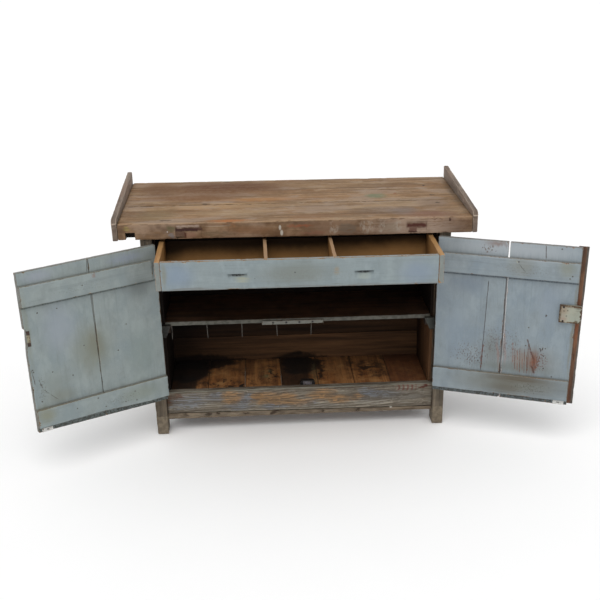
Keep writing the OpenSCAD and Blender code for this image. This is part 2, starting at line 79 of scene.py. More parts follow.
def door_frame(side):
    """Pin plus s times the direction along the door plus t times the direction through it."""
    joint = next(row for row in frame["joints"] if row["name"] == side + "_door_hinge")
    pin = np.array(joint["pos_m"]) * [1, 1, 0]
    hand, turn = (1 if side == "left" else -1), math.radians(OPEN[side])
    axes = np.array([[hand * math.cos(turn), -math.sin(turn), 0],
                     [hand * math.sin(turn), math.cos(turn), 0], [0, 0, 1]])
    return lambda points: points * MM @ axes + pin


in_left_door, in_right_door = door_frame("left"), door_frame("right")
print("cabinet middle", MIDDLE.round(4), "left pin", in_left_door(np.zeros((1, 3))).round(4))

# %% [markdown]
# ## Uneven wood
# Chips and dents need noise that is the same on every run. Value noise gives each corner of a grid a
# hashed number and blends between them. Adding finer and fainter copies gives a fractal.

# %% Noise on whole arrays
def value_noise(at, seed):
    """Hash the eight corners of each point's cell and blend them with 3f^2 - 2f^3 along each axis."""
    cell = np.floor(at).astype(np.int64)
    part = at - cell
    part = part * part * (3 - 2 * part)
    total = np.zeros(len(at))
    for corner in np.ndindex(2, 2, 2):
        key = (cell + corner) @ np.array([374761393, 668265263, 1274126177]) + seed * 974634777
        key = (key ^ (key >> 13)) & 0x7FFFFFFF
        key = (key * 1274126177) & 0x7FFFFFFF
        key = (key ^ (key >> 16)) & 0xFFFF
        total += key / 65535 * np.prod(np.where(corner, part, 1 - part), axis=1)
    return total


def fractal(at, seed, layers=3):
    """Sum of noise at doubled scale and halved strength, brought back to 0..1."""
    total = sum(value_noise(at * 2 ** k + 17.3 * k, seed + k) / 2 ** k for k in range(layers))
    return total / sum(0.5 ** k for k in range(layers))


def ramp(value, start, end):
    """0 at start, 1 at end, straight between."""
    return np.clip((value - start) / (end - start), 0, 1)


print("noise sample", fractal(np.linspace(0, 3, 12).reshape(4, 3), 1).round(3))

# %% [markdown]
# ## One way to make a board
# A board could be a cube with a bevel, but then its faces have no points to wear down. Here it is a fine
# grid of cells. The skin is every square between a full and an empty cell, so notches cost nothing. Grid
# lines crowd at the edges, where each point is drawn into a smaller box and pushed out again by the
# radius: that rounds edges and corners. Wear only ever takes wood away.

# %% Grid lines and skin
def grid_lines(low, high, pitch, radius, marks=()):
    """Lines at angles 45 and 22.5 degrees of each rounded edge, even lines between, and the marks."""
    corner = radius * (1 - np.tan(np.radians([45, 22.5])))
    count = max(1, round((high - low - 2 * radius) / pitch))
    even = np.linspace(low + radius, high - radius, count + 1)
    marks = np.array([mark for mark in marks if low + radius < mark < high - radius])
    if len(marks):
        clear = np.abs(even[:, None] - marks).min(axis=1) > 0.3
        clear[[0, -1]] = True
        even = np.concatenate([even[clear], marks])
    return np.unique(np.concatenate([low + corner, even, high - corner]))


def skin_of(solid):
    """Squares where a full cell meets an empty one, wound so that they face the empty side."""
    number = np.arange(np.prod(np.array(solid.shape) + 1)).reshape(np.array(solid.shape) + 1)
    squares = []
    for axis in range(3):
        across, up = (axis + 1) % 3, (axis + 2) % 3
        change = np.diff(solid.astype(int), axis=axis, prepend=0, append=0)
        for way, turns in ((-1, ((0, 0), (1, 0), (1, 1), (0, 1))), (1, ((0, 0), (0, 1), (1, 1), (1, 0)))):
            cells = np.argwhere(change == way)
            corners = []
            for side, rise in turns:
                corner = cells.copy()
                corner[:, across] += side
                corner[:, up] += rise
                corners.append(number[tuple(corner.T)])
            squares.append(np.stack(corners, axis=1))
    return np.concatenate(squares)


# %% [markdown]
# Every board starts from the same block: a rounded box that may be cut, carved and bent. Each call draws its
# own seed, so no two boards wear alike.

# %% A worn block
seeds = iter(range(11, 5000, 7))


def block(low, high, grain=0, radius=2.0, pitch=(12, 12, 12), soft=0.8, chips=1.5, ripple=0.3,
          cuts=(), marks=((), (), ()), carve=None, shape=None):
    """A rounded box less its cuts. Its skin sinks by ripple times slow noise, near the edges also by soft
    times noise and by chips where a finer noise is high, and by carve(points, normals). shape(points) may
    bend the result."""
    seed = next(seeds)
    low, high = np.array(low, float), np.array(high, float)
    radius = min(radius, (high - low).min() / 3)
    lines = [grid_lines(low[k], high[k], pitch[k], radius,
                        [*marks[k], *(cut[end][k] for cut in cuts for end in (0, 1))]) for k in range(3)]
    points = np.stack(np.meshgrid(*lines, indexing="ij"), axis=-1).reshape(-1, 3)
    middles = np.stack(np.meshgrid(*[(line[1:] + line[:-1]) / 2 for line in lines], indexing="ij"), -1)
    solid = np.ones(middles.shape[:3], bool)
    for start, end in cuts:
        solid &= ~np.all((middles > start) & (middles < end), axis=-1)
    used, quads = np.unique(skin_of(solid), return_inverse=True)
    points, quads = points[used], quads.reshape(-1, 4)

    reach = np.sort(np.minimum(points - low, high - points), axis=1)[:, 1]
    core = np.clip(points, low + radius, high - radius)
    out = points - core
    length = np.linalg.norm(out, axis=1, keepdims=True)
    outer = length > 0.99 * radius
    normal = np.where(outer, out / np.maximum(length, 1e-9), 0)
    points = np.where(outer, core + normal * radius, points)

    order = [grain, *(axis for axis in (0, 1, 2) if axis != grain)]
    own = points[:, order]
    near = np.exp(-reach / 5)
    chip = ramp(fractal(own / [26, 9, 9], seed), 0.56, 0.74) * near
    sink = (ripple * fractal(own / [160, 26, 26], seed + 1) + chips * chip
            + soft * near * fractal(own / [70, 20, 20], seed + 2))
    if carve:
        sink = sink + carve(points, normal)
    at = points.copy()
    points = points - normal * sink[:, None]
    if shape:
        points = shape(points)
    depth = value_noise(np.full((1, 3), seed * 1.37), 5)[0]
    pith = [seed * 900.0, (0.5 - depth) * 60, 25 + 60 * depth]
    centred = own - [0, *((low + high) / 2)[order[1:]]] + pith
    end = (np.abs(normal[:, grain]) > 0.7).astype(float)
    return {"points": points, "faces": [quads], "at": at, "grain": centred,
            "wear": np.stack([reach, chip, end], axis=1)}


sample = block((0, 0, 0), (100, 50, 20))
print("a sample block has", len(sample["points"]), "points and", len(sample["faces"][0]), "squares")

# %% [markdown]
# ## Turned pieces
# Nail heads, screw heads and wire are round. Each is a profile of radius and height turned about an axis,
# closed by a single point at both poles.

# %% A turned piece
def turned(profile, centre, axis, around=20, bend=None, slot=None):
    """Point = centre + r cos(a) U + r sin(a) V + h axis. slot(x, h) may lower the height across the head."""
    profile = np.array(profile, float)
    axis = np.array(axis, float) / np.linalg.norm(axis)
    side = np.cross(axis, [0, 0, 1] if abs(axis[2]) < 0.9 else [1, 0, 0])
    side /= np.linalg.norm(side)
    third = np.cross(axis, side)
    angle = np.arange(around) * 2 * np.pi / around
    radius, height = profile[1:-1, :1], np.repeat(profile[1:-1, 1:], around, axis=1)
    x, y = radius * np.cos(angle), radius * np.sin(angle)
    flat = np.concatenate([[[0, 0, profile[0, 1]]], np.stack([x, y, height], -1).reshape(-1, 3),
                           [[0, 0, profile[-1, 1]]]])
    if slot:
        flat[:, 2] = slot(flat[:, 0], flat[:, 2])
    points = flat @ np.stack([side, third, axis]) + centre
    if bend:
        points = bend(points)
    rings = len(profile) - 2
    ring = 1 + np.arange(rings * around).reshape(rings, around)
    turn = np.roll(ring, -1, axis=1)
    quads = np.stack([ring[:-1], turn[:-1], turn[1:], ring[1:]], -1).reshape(-1, 4)
    foot = np.stack([np.zeros(around, int), turn[0], ring[0]], -1)
    head = np.stack([np.full(around, rings * around + 1), ring[-1], turn[-1]], -1)
    wear = np.tile([20.0, 0.0, 0.0], (len(points), 1))
    return {"points": points, "faces": [quads, foot, head], "at": points, "grain": points.copy(),
            "wear": wear}


def nail_head(centre, axis, radius, height, **extra):
    """A low dome: height times the square root of 1 - (r / radius)^2, with its back 0.3 mm in the wood."""
    r = radius * np.sin(np.radians([0, 25, 50, 70, 82, 90]))
    h = height * np.sqrt(1 - (r / radius) ** 2)
    profile = [(0, -0.3), (radius, -0.3), *zip(r[::-1][:-1], h[::-1][:-1]), (0, height)]
    return turned(profile, centre, axis, around=14, **extra)


print("a nail head has", len(nail_head((0, 0, 0), (0, 0, 1), 3, 1)["points"]), "points")

# %% [markdown]
# ## From arrays to an object
# A finished piece has its place in its mesh and its object at the origin. Three attributes go with every
# point: where it lies in its member, where it lies in its own board with the grain first, and how far it
# is from an edge. The finishes read them. A mirrored member would turn its faces inside out, so the sign
# of the enclosed volume is measured and the faces are turned over where it is negative.

# %% Piece maker
made = []


def piece(name, parts, place, finish, body, slot, *nodes):
    """Join the parts, place them, give them their attributes and say what they ride on and stand for."""
    start, faces = 0, []
    for part in parts:
        faces += [array + start for array in part["faces"]]
        start += len(part["points"])
    points = place(np.concatenate([part["points"] for part in parts]))
    first = [points[array[:, 0]] for array in faces]
    volume = sum(np.sum(np.cross(points[array[:, k]], points[array[:, k + 1]]) * corner) / 6
                 for array, corner in zip(faces, first) for k in range(1, array.shape[1] - 1))
    if volume < 0:
        faces = [array[:, ::-1] for array in faces]
    mesh = bpy.data.meshes.new(name)
    mesh.from_pydata(points.tolist(), [], [face for array in faces for face in array.tolist()])
    for label, scale in (("at", MM), ("grain", MM), ("wear", 1.0)):
        values = np.concatenate([part[label] for part in parts]) * scale
        mesh.attributes.new(label, "FLOAT_VECTOR", "POINT").data.foreach_set(
            "vector", values.astype(np.float32).ravel())
    mesh.shade_smooth()
    mesh.set_sharp_from_angle(angle=math.radians(38))
    mesh.materials.append(finish)
    thing = bpy.data.objects.new(name, mesh)
    bpy.context.scene.collection.objects.link(thing)
    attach(thing, body)
    if nodes:
        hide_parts(*nodes)
    made.append((name, len(mesh.polygons), abs(volume)))
    return thing


def board(node, finish, slot, low, high, body="frame", place=in_cabinet, name=None, **worn):
    """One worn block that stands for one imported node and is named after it."""
    return piece(name or node + "_skin", [block(low, high, **worn)], place, finish, body, slot, node)


def ready(what, *names):
    """Print the pieces made so far whose names start like these."""
    print(what, [f"{name}: {count} faces" for name, count, _ in made if name.startswith(names)])


# %% [markdown]
# ## Sums on sockets
# A finish is a sum of masks. Written with nodes alone it is hard to read, so a small class wraps a socket
# and every operator adds its Math node. Numbers that are known stay in Python. Colours go through Mix.

# %% Sockets that add up
# The studio's light lifts all colours, so each is laid at this share of itself. A mark with a half width
# of ANY millimetres has no limit along that axis.
STUDIO, ANY = 0.86, 9e4


def srgb(red, green, blue):
    """A colour as seen on a screen, 0 to 255, in linear numbers, less what the bright studio adds."""
    value = np.array([red, green, blue]) / 255
    linear = np.where(value <= 0.04045, value / 12.92, ((value + 0.055) / 1.055) ** 2.4)
    return (*(STUDIO * linear).tolist(), 1.0)


def dim(colour, share):
    """A share of a linear colour, no brighter than white."""
    return [min(1.0, share * value) for value in colour[:3]] + [1.0]


def times(tint, share):
    """A share of a screen colour."""
    return [share * value for value in tint]


class Wire:
    """An output socket that can stand in a sum."""

    def __init__(self, sheet, socket):
        self.sheet, self.socket = sheet, socket

    def __add__(self, other):
        return self.sheet.math("ADD", self, other)

    def __sub__(self, other):
        return self.sheet.math("SUBTRACT", self, other)

    def __rsub__(self, other):
        return self.sheet.math("SUBTRACT", other, self)

    def __mul__(self, other):
        return self.sheet.math("MULTIPLY", self, other)

    def __abs__(self):
        return self.sheet.math("ABSOLUTE", self)

    __radd__, __rmul__ = __add__, __mul__


class Sheet:
    """One material, the colour it has so far, and the ways to add nodes to it."""

    def __init__(self, name, **constants):
        self.material = bpy.data.materials.new(name)
        self.material.use_nodes = True
        self.tree = self.material.node_tree
        self.shader = self.tree.nodes["Principled BSDF"]
        for key, value in constants.items():
            self.shader.inputs[key.replace("_", " ")].default_value = value

    @classmethod
    def of(cls, material, shader="Principled BSDF"):
        """The same ways for a material or a world that has nodes already."""
        sheet = cls.__new__(cls)
        sheet.material, sheet.tree = material, material.node_tree
        sheet.shader = sheet.tree.nodes[shader]
        return sheet

    def node(self, kind, values, out=0, **settings):
        node = self.tree.nodes.new("ShaderNode" + kind)
        for key, value in settings.items():
            setattr(node, key, value)
        for key, value in values.items():
            if isinstance(value, Wire):
                self.tree.links.new(value.socket, node.inputs[key])
            else:
                node.inputs[key].default_value = value
        return Wire(self, node.outputs[out])

    def math(self, operation, *values):
        return self.node("Math", dict(enumerate(values)), operation=operation)

    def vector(self, operation, *values):
        out = 1 if operation in ("LENGTH", "DISTANCE") else 0
        return self.node("VectorMath", dict(enumerate(values)), out, operation=operation)

    def mix(self, factor, below, above):
        """The colour below, covered by the one above where the factor is 1."""
        return self.node("Mix", {0: factor, 6: below, 7: above}, 2, data_type="RGBA", clamp_factor=True)

    def over(self, factor, *tint, share=1.0):
        """Cover the colour so far with a screen colour where the factor is 1."""
        self.colour = self.mix(factor, self.colour, dim(srgb(*tint), share))

    def step(self, value, start, end):
        """0 at start, 1 at end, smooth between."""
        return self.node("MapRange", {"Value": value, "From Min": start, "From Max": end},
                         interpolation_type="SMOOTHSTEP")

    def noise(self, at, scale, detail=3.0, rough=0.55):
        """Scale is one number, or one for each axis."""
        scaled = self.vector("MULTIPLY", at, scale if isinstance(scale, tuple) else (scale,) * 3)
        return self.node("TexNoise", {"Vector": scaled, "Scale": 1.0, "Detail": detail, "Roughness": rough})

    def attribute(self, name):
        return self.node("Attribute", {}, 1, attribute_name=name)

    def split(self, vector):
        wire = self.node("SeparateXYZ", {0: vector})
        return [Wire(self, socket) for socket in wire.socket.node.outputs]

    def jitter(self, at, noises, reach):
        """Coordinates moved along each axis by a noise less 0.5, times the reach in metres."""
        parts = {axis: wire - 0.5 for axis, wire in enumerate(noises) if wire}
        return self.vector("ADD", at, self.vector("MULTIPLY", self.node("CombineXYZ", parts), reach))

    def spot(self, at, centre, size, soft=0.6):
        """1 in the middle of an ellipsoid and 0 outside it. A size of ANY means that axis doesn't count."""
        off = self.vector("SUBTRACT", at, [value * MM for value in centre])
        scaled = self.vector("MULTIPLY", off, [1 / (value * MM) for value in size])
        return self.step(self.vector("LENGTH", scaled), 1.0, 1.0 - soft)

    def marks(self, rows, at, soft, veil=1.0):
        """Cover the colour so far with a spot for each row of centre, size, tint and strength."""
        for centre, size, tint, strength in rows:
            self.over(self.spot(at, centre, size, soft) * veil * strength, *tint)

    def bar(self, x, z, left, right, low, high, soft=1.5):
        """1 inside a rectangle of x and z, and 0 outside it, over twice the soft width."""
        across = self.step(x, (left - soft) * MM, (left + soft) * MM)
        across = across * self.step(x, (right + soft) * MM, (right - soft) * MM)
        up = self.step(z, (low - soft) * MM, (low + soft) * MM)
        return across * up * self.step(z, (high + soft) * MM, (high - soft) * MM)

    def cover(self, factor, above):
        """Put one more colour over the base colour of a finish that is already laid."""
        socket = self.shader.inputs["Base Color"]
        below = Wire(self, socket.links[0].from_socket)
        self.tree.links.new(self.mix(factor, below, above).socket, socket)

    def lay(self, rough, height, depth):
        """Join the colour, a roughness and a bump of the given depth in metres to the shader."""
        bump = self.node("Bump", {"Strength": 1.0, "Distance": depth, "Height": height})
        for key, wire in (("Base Color", self.colour), ("Roughness", rough), ("Normal", bump)):
            self.tree.links.new(wire.socket, self.shader.inputs[key])
        return self.material


print("a mid grey on a screen is", round(srgb(128, 128, 128)[0], 3), "in a shader")

# %% [markdown]
# ## Wood grain
# A board is sawn from a log, so its figure is made of rings round the pith, which lies outside the board
# and wanders along it. Fibres are noise drawn out along the grain. Both are worked out from the board's
# own coordinates, so every board has its own figure that also runs round its edges.

# %% Grain in three layers
def figure(sheet, ring=0.006, wander=0.02):
    """Rings: distance from the pith plus slow noise, repeated. Streaks and fibres: stretched noise."""
    own = sheet.attribute("grain")
    slow = sheet.noise(own, (1.6, 7, 7), 2.0)
    _, across, through = sheet.split(own)
    flat = sheet.node("CombineXYZ", {1: across, 2: through})
    pith = sheet.vector("LENGTH", flat) + slow * wander * 2
    turn = sheet.math("FRACT", pith * (1 / ring))
    rings = sheet.step(turn, 0.25, 0.85) - sheet.step(turn, 0.88, 0.99)
    streaks = sheet.step(sheet.noise(own, (2.2, 38, 38), 4.0), 0.32, 0.68)
    fibres = sheet.noise(own, (9, 420, 420), 4.0, 0.7)
    return own, rings, streaks, fibres


def bare(sheet, light, dark, warm, ring=0.006, wander=0.02, contrast=0.5):
    """Weathered wood: streaks from dark to light, warmer in slow patches, rings and fibres on top. Gives
    its relief and the board's own coordinates."""
    own, rings, streaks, fibres = figure(sheet, ring, wander)
    patches = sheet.step(sheet.noise(own, (3, 12, 12), 4.0), 0.42, 0.62)
    sheet.colour = sheet.mix(streaks, srgb(*dark), srgb(*light))
    sheet.over(patches * 0.6, *warm)
    sheet.over(rings * contrast, *dark)
    sheet.over((1 - sheet.step(fibres, 0.3, 0.52)) * 0.55, *dark, share=0.45)
    dashes = sheet.step(sheet.noise(own, (11, 170, 170), 3.0, 0.6), 0.6, 0.7)
    sheet.over(dashes * 0.6, *dark, share=0.45)
    return fibres * 0.8 - rings * 0.35 + streaks * 0.3, own


def end_grain(sheet, dark):
    """Ends soak up dirt, so they go darker. Gives the distance from an edge and the chips."""
    distance, chip, end = sheet.split(sheet.attribute("wear"))
    sheet.over(end * 0.6, *dark)
    return distance, chip


print("grain helpers ready")

# %% [markdown]
# ## The worktop's finish
# The top is bare brown wood that once had a finish. It is warm in the middle of the rear plank, greyer
# near the right end, and its front face has old stains, a drip and crusts of paint, each at its place.

# %% Worktop finish
def top_finish():
    """Bare wood, bands along the grain, slow clouds, the front face, then every mark in its place."""
    sheet = Sheet("worn_worktop", Specular_IOR_Level=0.15)
    height, own = bare(sheet, (172, 143, 109), (118, 91, 66), (162, 121, 80), ring=0.009, wander=0.03,
                       contrast=0.24)
    at = sheet.attribute("at")
    x, y, z = sheet.split(at)
    bands = sheet.noise(own, (2.0, 80, 80), 4.0, 0.65)
    sheet.over(sheet.step(bands, 0.5, 0.38) * 0.5, 92, 68, 48)
    sheet.over(sheet.step(bands, 0.54, 0.68) * 0.4, 184, 158, 126)
    rag = sheet.noise(at, 60, 4.0, 0.65)
    fine = sheet.noise(at, (30, 130, 200), 4.0, 0.7)
    blur = sheet.noise(at, (11, 16, 16), 4.0, 0.6)
    ragged = sheet.jitter(at, (blur, rag, rag), (0.06, 0.03, 0.025))
    sheet.over(sheet.step(blur, 0.42, 0.3) * 0.55, 112, 90, 68)
    sheet.over(sheet.step(blur, 0.56, 0.72) * 0.5, 172, 152, 126)
    slow = sheet.noise(at, (5, 11, 11), 4.0, 0.65)
    sheet.over(sheet.step(slow, 0.5, 0.6) * 0.55, 160, 140, 122)
    sheet.over(sheet.step(slow, 0.48, 0.38) * 0.6, 122, 92, 62)
    sheet.over(sheet.step(sheet.noise(at, (26, 240, 240), 4.0, 0.7), 0.6, 0.68) * 0.55, 74, 54, 40)
    front = sheet.step(y, -0.0095, -0.0125)
    face = sheet.mix(sheet.step(blur, 0.4, 0.6), srgb(94, 70, 54), srgb(150, 124, 102))
    sheet.colour = sheet.mix(front * 0.6, sheet.colour, face)
    ridge = sheet.step(z + (rag - 0.5) * 0.012, 0.889, 0.893) * sheet.step(y, 0.004, -0.004)
    sheet.over(ridge * sheet.step(rag, 0.4, 0.56) * 0.5, 176, 146, 118)
    sheet.marks(TOP_BROAD, ragged, 0.75, sheet.step(fine + bands, 0.6, 1.1))
    sheet.marks(TOP_SMALL, ragged, 0.45, sheet.step(fine, 0.3, 0.5))
    sheet.marks(TOP_SHARP, at, 0.5)
    shaken = sheet.split(sheet.jitter(at, (blur, rag, rag), (0.02, 0, 0.014)))
    for edges, tint, strength in TOP_BARS:
        sheet.over(sheet.bar(shaken[0], shaken[2], *edges) * front * strength, *tint)
    # Painted shade: the inside of the notch is laid nearly black.
    notch_shadow = sheet.bar(x, z, -652, -612, 828, 863) * sheet.step(y, -0.012, -0.009)
    sheet.over(notch_shadow * sheet.step(y, 0.030, 0.028) * 0.95, 24, 19, 17)
    smears = sum(sheet.spot(ragged, (place, FRONT_Y, 863), (wide, 40, 30), 0.5)
                 for place, wide in ((141, 24), (266, 40), (324, 18), (392, 22)))
    crust = sheet.step(sheet.noise(at, (80, 80, 44), 4.0, 0.65), 0.44, 0.62) * smears
    sheet.over(crust * 0.6, 178, 168, 154)
    joint = sheet.step(abs(y - TOP_JOINT * MM), 0.0032, 0.001) * sheet.step(rag, 0.36, 0.5)
    sheet.over(joint * 0.9, 44, 32, 24)
    distance, chip = end_grain(sheet, (84, 70, 58))
    sheet.over(sheet.step(distance, 3.5, 0.5) * 0.3, 176, 150, 118)
    sheet.over(sheet.step(chip, 0.12, 0.4) * 0.6, 84, 62, 46)
    return sheet.lay(0.62 + (rag - 0.5) * 0.4, height + crust * 0.3 - joint * 2.0, 0.0006)


TOP_BROAD = [
    ((-290, 520, 893), (400, 160, 60), (108, 72, 42), 1.0),
    ((-230, 560, 893), (320, 80, 60), (100, 64, 38), 0.9),
    ((-400, 370, 893), (300, 90, 60), (122, 84, 50), 0.9),
    ((-290, 235, 893), (340, 64, 60), (178, 146, 108), 0.55),
    ((420, 210, 893), (210, 60, 60), (164, 142, 114), 0.55),
    ((-560, 520, 893), (130, 170, 60), (110, 77, 48), 0.85),
    ((-120, 320, 893), (220, 50, 60), (166, 118, 70), 0.7),
    ((120, 560, 893), (320, 70, 60), (148, 118, 84), 0.5),
    ((-255, 8, 893), (110, 26, 40), (172, 108, 58), 0.85),
    ((-540, 120, 893), (110, 120, 60), (134, 114, 80), 0.6),
    ((-250, 130, 893), (240, 60, 60), (176, 150, 116), 0.6),
    ((110, 160, 893), (150, 70, 60), (150, 128, 108), 0.6),
    ((60, 40, 893), (140, 50, 60), (132, 96, 64), 0.7),
    ((330, 110, 893), (170, 80, 60), (112, 92, 76), 0.7),
    ((425, 90, 893), (80, 90, 60), (126, 112, 104), 0.7),
    ((520, 40, 893), (140, 70, 60), (124, 88, 72), 0.8),
    ((560, 200, 893), (90, 110, 60), (122, 98, 80), 0.6),
    ((345, 340, 893), (66, 56, 30), (108, 120, 94), 0.9),
    ((-645, -13, 876), (26, 40, 14), (150, 134, 82), 0.9),
    ((130, -13, 862), (150, 40, 46), (138, 110, 88), 0.8),
    ((-180, -13, 862), (120, 40, 20), (146, 108, 78), 0.6),
    ((600, 0, 860), (90, 60, 60), (112, 90, 76), 0.6),
    ((440, -13, 856), (240, 30, 60), (170, 150, 134), 0.85),
    # Painted shade: a darker band along the foot of the right end board.
    ((674, 330, 893), (34, 420, 40), (92, 76, 60), 0.8)]
TOP_SMALL = [
    ((429, 379, 893), (10, 8, 9), (122, 58, 36), 0.9),
    ((571, 503, 893), (10, 16, 9), (56, 40, 30), 0.9),
    ((578, 338, 893), (14, 10, 9), (60, 44, 34), 0.9),
    ((579, 208, 893), (13, 12, 9), (60, 44, 34), 0.9),
    ((-272, 642, 893), (18, 10, 9), (70, 50, 36), 0.8),
    ((-359, 268, 893), (26, 10, 9), (60, 44, 34), 0.8),
    ((-496, 30, 893), (34, 10, 9), (70, 50, 36), 0.8), ((586, -13, 884), (7, 12, 6), (60, 34, 26), 0.9),
    ((540, -13, 888), (30, 14, 3), (84, 54, 44), 0.7),
    ((-478, -13, 846), (16, 30, 15), (132, 126, 126), 0.75),
    ((-478, -13, 872), (22, 30, 14), (106, 98, 72), 0.8),
    ((5, -13, 873), (60, 30, 6), (150, 92, 66), 0.7),
    ((60, -13, 846), (60, 30, 10), (140, 96, 76), 0.5),
    ((190, -13, 858), (44, 30, 24), (112, 102, 90), 0.6),
    ((360, -13, 858), (44, 30, 24), (146, 132, 114), 0.55),
    ((-300, -13, 848), (70, 30, 14), (90, 76, 54), 0.5)]
TOP_SHARP = [
    ((-66, -13, 868), (6, 30, 12), (206, 200, 188), 0.85),
    ((-60, -13, 848), (7, 30, 14), (206, 200, 188), 0.9),
    ((-492, -13, 861), (2.5, 30, 4), (206, 204, 200), 0.8),
    ((-300, -13, 879), (60, 30, 2), (190, 172, 150), 0.6)]
TOP_BARS = [
    ((-456, -372, 876, 884, 4), (192, 172, 160), 0.75), ((-461, -378, 860, 873, 3), (66, 44, 42), 0.95),
    ((-392, -362, 864, 874, 5), (78, 52, 48), 0.9), ((-461, -425, 843, 860, 3), (98, 74, 62), 0.8),
    ((-461, -428, 836, 841, 2.5), (30, 22, 20), 0.9), ((-429, -421, 836, 856, 3), (84, 44, 36), 0.8),
    ((-419, -384, 838, 854, 5), (150, 112, 94), 0.55), ((423, 499, 856, 872, 6), (82, 44, 38), 0.95),
    ((433, 462, 840, 856, 4), (106, 72, 62), 0.8), ((431, 464, 838, 843, 3), (58, 32, 28), 0.9)]
TOP = top_finish()
print("worktop finish has", len(TOP.node_tree.nodes), "nodes")

# %% [markdown]
# ## Plain weathered woods
# Posts, ends, inner boards and runners share one recipe with other colours. A dirt layer gathers near the
# edges, and chips show lighter wood.

# %% Weathered finishes
def weathered(name, light, dark, warm, ring=0.006, contrast=0.45, grime=0.5, arris=0.45, gloss=0.35):
    """Bare wood with dirt in slow clouds. Arris is how much the worn edges show."""
    sheet = Sheet(name, Specular_IOR_Level=gloss)
    height, own = bare(sheet, light, dark, warm, ring=ring, contrast=contrast)
    distance, chip = end_grain(sheet, dark)
    cloud = sheet.noise(sheet.attribute("at"), 14, 4.0, 0.6)
    sheet.over(sheet.step(cloud, 0.46, 0.68) * grime, *dark, share=0.5)
    worn = sheet.step(distance, 3.0, 0.4) * sheet.step(cloud, 0.36, 0.6)
    sheet.over(worn * arris, *light, share=1.35)
    sheet.over(sheet.step(chip, 0.2, 0.5) * 0.5, *warm)
    return sheet.lay(0.72 + (cloud - 0.5) * 0.3, height, 0.0005)


END = weathered("grey_end_boards", (166, 151, 136), (112, 96, 84), (148, 121, 102), ring=0.005,
                contrast=0.35, grime=0.4, arris=0.75)
DARK = weathered("dark_inner_boards", (66, 46, 32), (30, 21, 16), (58, 38, 25), ring=0.007)


def scuffed_end():
    """A pale scuff on the right end board's upper edge."""
    sheet = Sheet.of(END)
    at = sheet.attribute("at")
    scuff = sheet.spot(at, (690, 195, 918), (16, 24, 16)) * sheet.step(sheet.noise(at, 90), 0.36, 0.5)
    sheet.cover(scuff * 0.8, srgb(206, 176, 166))


scuffed_end()


def case_finish(name, axis, outer, inner, glow):
    """Weathered outside. Inside, where x or y is short of the board's middle, painted shade makes it nearly
    black, darker still above the shelf and towards the left, and a painted pool of light makes it brown
    where the light from the open front reaches."""
    sheet = Sheet.of(weathered(name, (108, 94, 78), (62, 52, 43), (92, 74, 56), gloss=0.1))
    at = sheet.attribute("at")
    x, y, z = sheet.split(at)
    inside = sheet.step(abs(x) if axis == 0 else y, outer, inner)
    streak = sheet.noise(sheet.attribute("grain"), (2, 50, 50), 4.0, 0.65)
    tone = sheet.step(streak, 0.26, 0.72)
    # Painted shade: the inside is laid nearly black.
    sheet.colour = sheet.mix(tone, srgb(20, 14, 11), srgb(42, 28, 19))
    # Painted shade: darker still above the shelf.
    sheet.over(sheet.step(z, 0.46, 0.50) * 0.5, 14, 11, 10)
    # Painted light: a brown pool where the glow mask says that the light from the open front falls.
    lit = sheet.mix(tone, srgb(60, 42, 30), srgb(112, 80, 54))
    sheet.colour = sheet.mix(glow(sheet, x, y, z, streak), sheet.colour, lit)
    rag = sheet.noise(at, 24, 4.0, 0.65) - 0.5
    for centre, wide in ((-0.43, 0.26), (0.0, 0.14)):
        soot = abs(x - centre + rag * 0.1) * (1 / wide) + (z - FLOOR_Z * MM) * 28 + rag * 0.8
        sheet.over(sheet.step(soot, 1.1, 0.6) * 0.85, 13, 10, 9)
    # Painted shade: darker towards the left side.
    sheet.over(sheet.step(x + rag * 0.1, -0.36, -0.5) * 0.6, 19, 15, 13)
    sheet.cover(inside, sheet.colour)
    return sheet.material


def right_low_corner(sheet, x, y, z, streak):
    """Painted light's pool: the right panel below the shelf, fading towards the back."""
    return sheet.step(x, 0.3, 0.5) * sheet.step(z, 0.47, 0.40) * sheet.step(y, 0.36, 0.10)


def lowest_board(sheet, x, y, z, streak):
    """Painted light's pool: the board that meets the floor, and a little of the one above it on the right."""
    near = sheet.step(x, -0.7, 0.3) * 0.6 + 0.4
    lowest = sheet.step(z + streak * 0.01, 0.292, 0.288)
    return (lowest * 0.75 + sheet.step(z - x * 0.1, 0.42, 0.30) * 0.25) * near


SIDE = case_finish("side_panels", 0, 0.550, 0.545, right_low_corner)
BACK = case_finish("back_boards", 1, 0.371, 0.367, lowest_board)


def two_tone(name, wood, other, axis, start, end, **settings):
    """Weathered wood that turns to another colour between two levels of one axis of its member."""
    sheet = Sheet.of(weathered(name, *wood, **settings))
    at = sheet.attribute("at")
    ragged = sheet.noise(at, 60, 3.0, 0.6)
    level = sheet.split(at)[axis] + (ragged - 0.5) * 0.006
    tone = sheet.mix(sheet.step(ragged, 0.4, 0.6), srgb(*other), srgb(*times(other, 0.8)))
    sheet.cover(sheet.step(level, start, end) * 0.9, tone)
    return sheet.material


POST = two_tone(
    "dark_posts", ((124, 112, 95), (80, 71, 60), (108, 94, 76)), (130, 117, 98), 2, 0.083, 0.080,
    ring=0.005)


def shaded_post():
    """Painted shade: the posts' inner sides lie in the case's shadow, so they are laid as dark as its inside.
    """
    sheet = Sheet.of(POST)
    x, y, z = sheet.split(sheet.attribute("at"))
    side = sheet.step(abs(x), 0.5562, 0.5548) * sheet.step(z, 0.18, 0.20)
    sheet.cover(side * sheet.step(y, 0.0, 0.004) * 0.92, srgb(37, 31, 26))


shaded_post()
SHELF = two_tone("brown_shelf", ((96, 70, 50), (50, 36, 26), (86, 58, 39)), (104, 104, 96), 1,
                 0.046, 0.041, ring=0.006)
print("weathered finishes made")

# %% [markdown]
# ## The cabinet's floor
# The floor boards are pine, orange where feet and pots rubbed them and nearly black where damp stood. The
# stains cross the joints, so they are placed in the cabinet's own coordinates.

